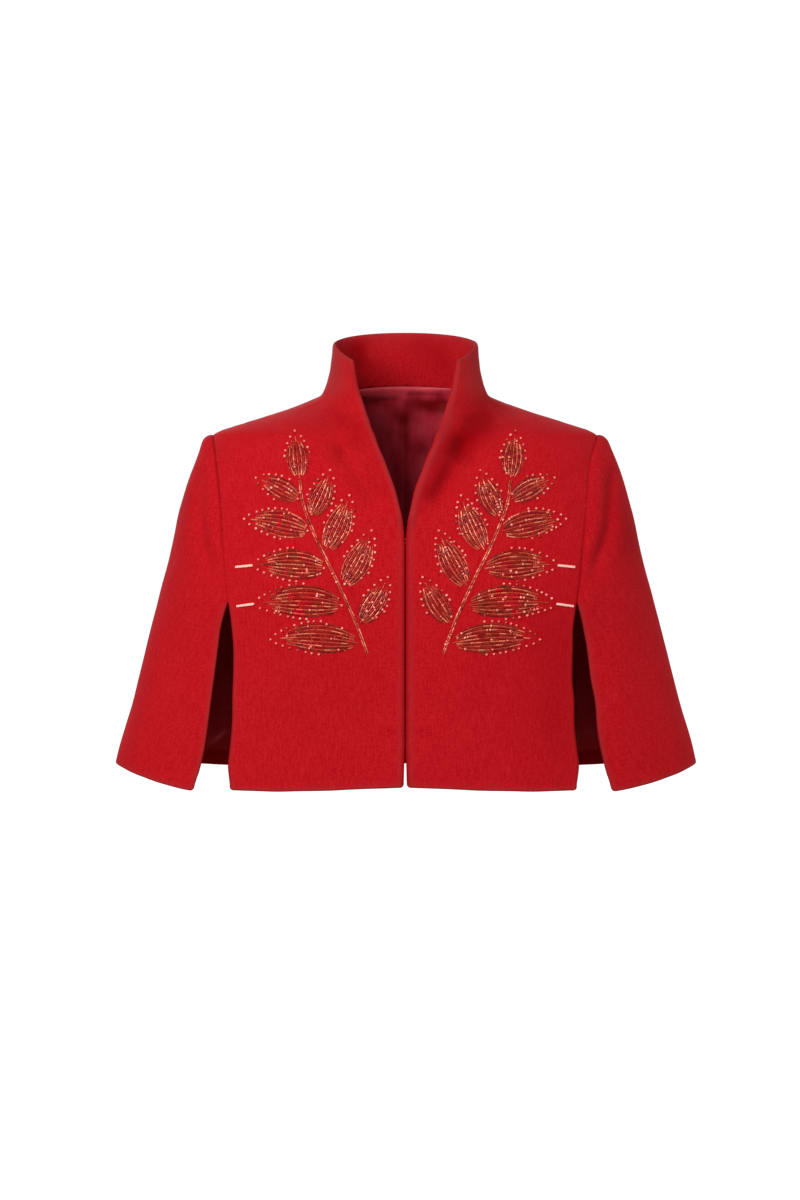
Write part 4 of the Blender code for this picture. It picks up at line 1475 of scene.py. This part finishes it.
def smoothPath(points, count):
    # a smooth curve through a few points, evenly spaced
    knots = np.array(points, float)
    padded = np.vstack([2 * knots[0] - knots[1], knots, 2 * knots[-1] - knots[-2]])
    t = np.linspace(0, 1, sprig["pathSteps"], endpoint=False)[:, None]
    curve = []
    for i in range(len(knots) - 1):
        p0, p1, p2, p3 = padded[i : i + 4]
        square, cubic = 2 * p0 - 5 * p1 + 4 * p2 - p3, 3 * p1 - p0 - 3 * p2 + p3
        curve.append(0.5 * (2 * p1 + (p2 - p0) * t + square * t**2 + cubic * t**3))
    curve = np.vstack([*curve, knots[-1:]])
    run = runAlong(curve)
    return alongLine(np.linspace(0, run[-1], count), run, curve)


def leafLines(base, heading, leaf):
    # the bead lines of one leaf: rib in the middle, the others bowed out on both sides
    _, side, length, width, _, curl, _ = leaf
    count = sprig["leafPoints"]
    u = np.linspace(0.0, 1.0, count)
    angles = heading + math.radians(curl) * side * (u - sprig["curlFrom"])
    steps = np.stack([np.cos(angles), np.sin(angles)], 1) * length / (count - 1)
    rib = base + np.concatenate([[[0.0, 0.0]], np.cumsum(steps[:-1], axis=0)])
    normal = np.stack([-np.sin(angles), np.cos(angles)], 1)
    spread = width / 2 * np.sin(np.pi * u ** sprig["leafPower"]) ** sprig["leafPower"]
    half = max(2, round(width / 2 / sprig["lineSpacing"]))
    lines = []
    for k in range(-half, half + 1):
        row = "rib" if k == 0 else ("bright" if k % 2 == 0 else "dark")
        kept = spread / half >= sprig["leastSpacing"][row]
        if k != 0 and kept.sum() < sprig["leastPoints"]:
            continue
        lines.append((k, (rib + normal * (spread * k / half)[:, None])[kept]))
    outlines = [rib + normal * ((spread + sprig["dotAside"]) * turn)[:, None] for turn in (-1, 1)]
    return rib, lines, outlines


def beadSpots(path, draw, roundShare, startGap=0.0, bugle="bugle"):
    # walks a line and lays bugles, seeds and round beads on it: (kind, start, end)
    run = runAlong(path)
    spots = []
    place = startGap
    while place < run[-1] - sprig["lineEnd"]:
        pick = draw.random()
        if pick < roundShare:
            kind, size = "round", 2 * sprig["roundRadius"]
        elif pick < roundShare + sprig["seedShare"]:
            kind, size = "seed", 2 * sprig["seedRadius"]
        else:
            kind, size = bugle, sprig["bugleLength"] * draw.uniform(*sprig["bugleSpread"])
        if place + size > run[-1] + sprig["overhang"]:
            kind, size = "seed", 2 * sprig["seedRadius"]
        spots.append((kind, *alongLine((place, place + size), run, path)))
        place += size + sprig["gap"] * draw.uniform(*sprig["gapSpread"])
    return spots


def sprigSpots(draw):
    steps = sprig["stemSteps"]
    stem = smoothPath(sprig["stem"], steps + 1)
    spots = []
    for offset in (-sprig["stemHalf"], sprig["stemHalf"]):
        heading = unit(np.gradient(stem, axis=0))
        aside = np.stack([-heading[:, 1], heading[:, 0]], 1) * offset
        spots += beadSpots(stem + aside, draw, sprig["stemRounds"])
    for leaf in sprig["leaves"]:
        along, side, _, _, angle, _, barLength = leaf
        at = int(along * steps)
        tangent = stem[min(at + 1, steps)] - stem[max(at - 1, 0)]
        heading = math.atan2(tangent[1], tangent[0]) - side * math.radians(angle)
        base = stem[at] + sprig["leafStart"] * np.array([math.cos(heading), math.sin(heading)])
        rib, lines, outlines = leafLines(base, heading, leaf)
        for k, line in lines:
            trim = int(draw.integers(0, sprig["trim"])) if k else 0
            share, bugle = sprig["brightLine"] if k % 2 == 0 else sprig["darkLine"]
            startGap = draw.uniform(0, sprig["startGap"])
            spots += beadSpots(line[: len(line) - trim], draw, share, startGap, bugle)
        tipHeading = unit(rib[-1] - rib[-4])
        bar = ("bar", sprig["tipBar"], sprig["tipBar"] + barLength)
        kind, first, last = bar if barLength else ("round", *sprig["tipRound"])
        spots.append((kind, rib[-1] + tipHeading * first, rib[-1] + tipHeading * last))
        for outline in outlines:
            # loose beads follow the outer part of both sides
            run = runAlong(outline)
            place = run[-1] - sprig["dotStep"] * draw.uniform(*sprig["dotFirst"])
            while place > run[-1] * sprig["dotsFrom"]:
                dot = alongLine(place, run, outline)
                spots.append(("round", dot - tipHeading, dot + tipHeading))
                place -= sprig["dotStep"] * draw.uniform(*sprig["dotSpread"])
    return spots


def beadForm(kind):
    # unit profiles turned round the Z axis: rings of (radius, height) and their sides
    if kind == "tube":
        return ((0.72, -0.5), (1.0, -0.46), (1.0, 0.46), (0.72, 0.5)), 6
    return tuple((math.sin(math.pi * k / 6), -0.5 * math.cos(math.pi * k / 6)) for k in range(1, 6)), 8


def addBead(batch, kind, centre, axis, radius, length, tone):
    rings, sides = beadForm(kind)
    axis = axis.normalized()
    side = axis.orthogonal().normalized()
    other = axis.cross(side)
    first = batch["count"]
    for ringRadius, height in rings:
        for k in range(sides):
            turn = 2 * math.pi * k / sides
            out = (side * math.cos(turn) + other * math.sin(turn)) * radius * ringRadius
            batch["vertices"].append(centre + axis * (height * length) + out)
    total = len(rings) * sides
    batch["count"] += total
    for r in range(len(rings) - 1):
        for k in range(sides):
            a, b = first + r * sides + k, first + r * sides + (k + 1) % sides
            batch["faces"].append((a, b, b + sides, a + sides))
    batch["faces"].append(tuple(first + k for k in range(sides - 1, -1, -1)))
    batch["faces"].append(tuple(first + total - sides + k for k in range(sides)))
    batch["tones"] += [tone] * total


def newBatch():
    return {"vertices": [], "faces": [], "tones": [], "count": 0}


def sewBatch(name, batch, material):
    mesh = bpy.data.meshes.new(name)
    mesh.from_pydata(batch["vertices"], [], batch["faces"])
    mesh.shade_smooth()
    mesh.set_sharp_from_angle(angle=math.radians(sprig["sharpAngle"]))
    tones = mesh.attributes.new("tone", "FLOAT", "POINT")
    tones.data.foreach_set("value", np.array(batch["tones"], np.float32))
    return makeObject(name, mesh, material)


def onCloth(tree, x, z, side):
    # the point of the cloth in front of a place of the pattern, unless it faces back or aside
    place, normal, _, _ = tree.ray_cast(Vector((side * x * mm, -1.0, z * mm)), Vector((0, 1, 0)))
    return (place, normal) if place is not None and normal.y < 0.2 else (None, None)


def sewSprig(sideName, side, shell, goldMaterial, pinkMaterial):
    draw = np.random.default_rng(sprig["seeds"][sideName])
    tree = BVHTree.FromPolygons(
        [v.co.copy() for v in shell.data.vertices], [tuple(p.vertices) for p in shell.data.polygons]
    )
    bugles, rounds, pinks = newBatch(), newBatch(), newBatch()
    for kind, start, end in sprigSpots(draw):
        (a, normalA), (b, normalB) = (onCloth(tree, *p, side) for p in (start, end))
        if a is None or b is None or (b - a).length < sprig["leastBead"] * mm:
            continue
        normal = (normalA + normalB).normalized()
        middle, axis, length = (a + b) / 2, b - a, (b - a).length
        if kind in ("bugle", "darkBugle"):
            radius = sprig["bugleRadius"] * draw.uniform(*sprig["bugleThick"]) * mm
            centre = middle + normal * radius * sprig["seat"][0]
            tone = draw.beta(*sprig["brightTone"]) if kind == "bugle" else draw.uniform(*sprig["darkTone"])
            addBead(bugles, "tube", centre, axis, radius, length, tone)
        elif kind == "bar":
            radius = sprig["pinkRadius"] * mm
            addBead(pinks, "tube", middle + normal * radius, axis, radius, length, sprig["barTone"])
        else:
            size = sprig["roundRadius"] if kind == "round" else sprig["seedRadius"]
            radius = size * draw.uniform(*sprig["roundThick"]) * mm
            centre = middle + normal * radius * sprig["seat"][1]
            isPink = kind == "round" and draw.random() < sprig["pinkShare"]
            tone = draw.uniform(*sprig["roundTone"])
            height = radius * sprig["roundTall"]
            addBead(pinks if isPink else rounds, "ball", centre, normal, radius, height, tone)
    made = []
    for name, batch, material, slot in (
        ("sprigBugles", bugles, goldMaterial, "bead_gold"),
        ("sprigRounds", rounds, goldMaterial, "bead_gold"),
        ("sprigPinks", pinks, pinkMaterial, "bead_pink"),
    ):
        piece = sewBatch(name + sideName, batch, material)
        made.append(piece)
    return made


setCamera(cameraSetup)
setLights(lightSetup)
layFloor(lightSetup)
wool = woolCrepe("woolCrepe", woolLook)
# the facings' wool is a copy painted brighter: painted light
woolInside = woolCrepe("woolFacing", woolLook, woolLook["facingShade"])
liningSatin = satin("liningSatin", satinLook)
sleeveSatin = satin("sleeveSatin", sleeveSatinLook)
beadGold = glassBead("beadGold", beadLooks["gold"])
beadPink = glassBead("beadPink", beadLooks["pink"])
print("camera, light and materials ready")

front = cutFront()
back = cutBack()
sleeve = cutSleeve(front, back)
shareSeams(front, back, sleeve)
frontOther, sleeveOther = shiftBorders(rollEdge(front, frontPanel["rollRight"]), sleeve, "Right")
frontOther, sleeveOther = mirroredPanel(frontOther), mirroredPanel(sleeveOther)
front, sleeve = shiftBorders(rollEdge(front, frontPanel["rollLeft"]), sleeve, "Left")
print("panels cut:", front["points"].shape, back["points"].shape, sleeve["points"].shape)

sewn = [
    (sewFront("frontLeft", front, "Left", wool), "front_left", "wool", frontPanel),
    (sewFront("frontRight", frontOther, "Right", wool), "front_right", "wool", frontPanel),
    (sewBack("backBody", back, wool), "back", "wool", backPanel),
    (sewSleeve("sleeveLeft", sleeve, "Left", wool), "sleeve_left", "wool", sleevePanel),
    (sewSleeve("sleeveRight", sleeveOther, "Right", wool), "sleeve_right", "wool", sleevePanel),
    (sewCollarFacing(front, frontOther, back, woolInside), "collar_facing", "wool", collarFacing),
    (sewBackLining(back, liningSatin), "lining_back", "lining", backLining),
    (sewHemFacing(back, woolInside), "hem_facing_back", "wool", hemFacing),
]
for sideName, panel in (("Left", sleeve), ("Right", sleeveOther)):
    piece = sewSleeveLining("sleeveLining" + sideName, panel, sideName, sleeveSatin)
    sewn.append((piece, "lining_sleeve_" + sideName.lower(), "lining", sleeveLining))
for piece, node, slot, form in sewn:
    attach(piece, "root")
    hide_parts(node)
print("cloth sewn:", sum(len(entry[0].data.polygons) for entry in sewn), "faces")

shells = {entry[0].name: entry[0] for entry in sewn}
for sideName, side in (("Left", 1), ("Right", -1)):
    for piece in sewSprig(sideName, side, shells["front" + sideName], beadGold, beadPink):
        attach(piece, "root")
        print(piece.name, len(piece.data.polygons), "faces")

winding = threadWinding(windingLook)
for node in ("front_hook", "front_eye"):
    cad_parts[node].data.materials.clear()
    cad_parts[node].data.materials.append(winding)
print("fastener finished")
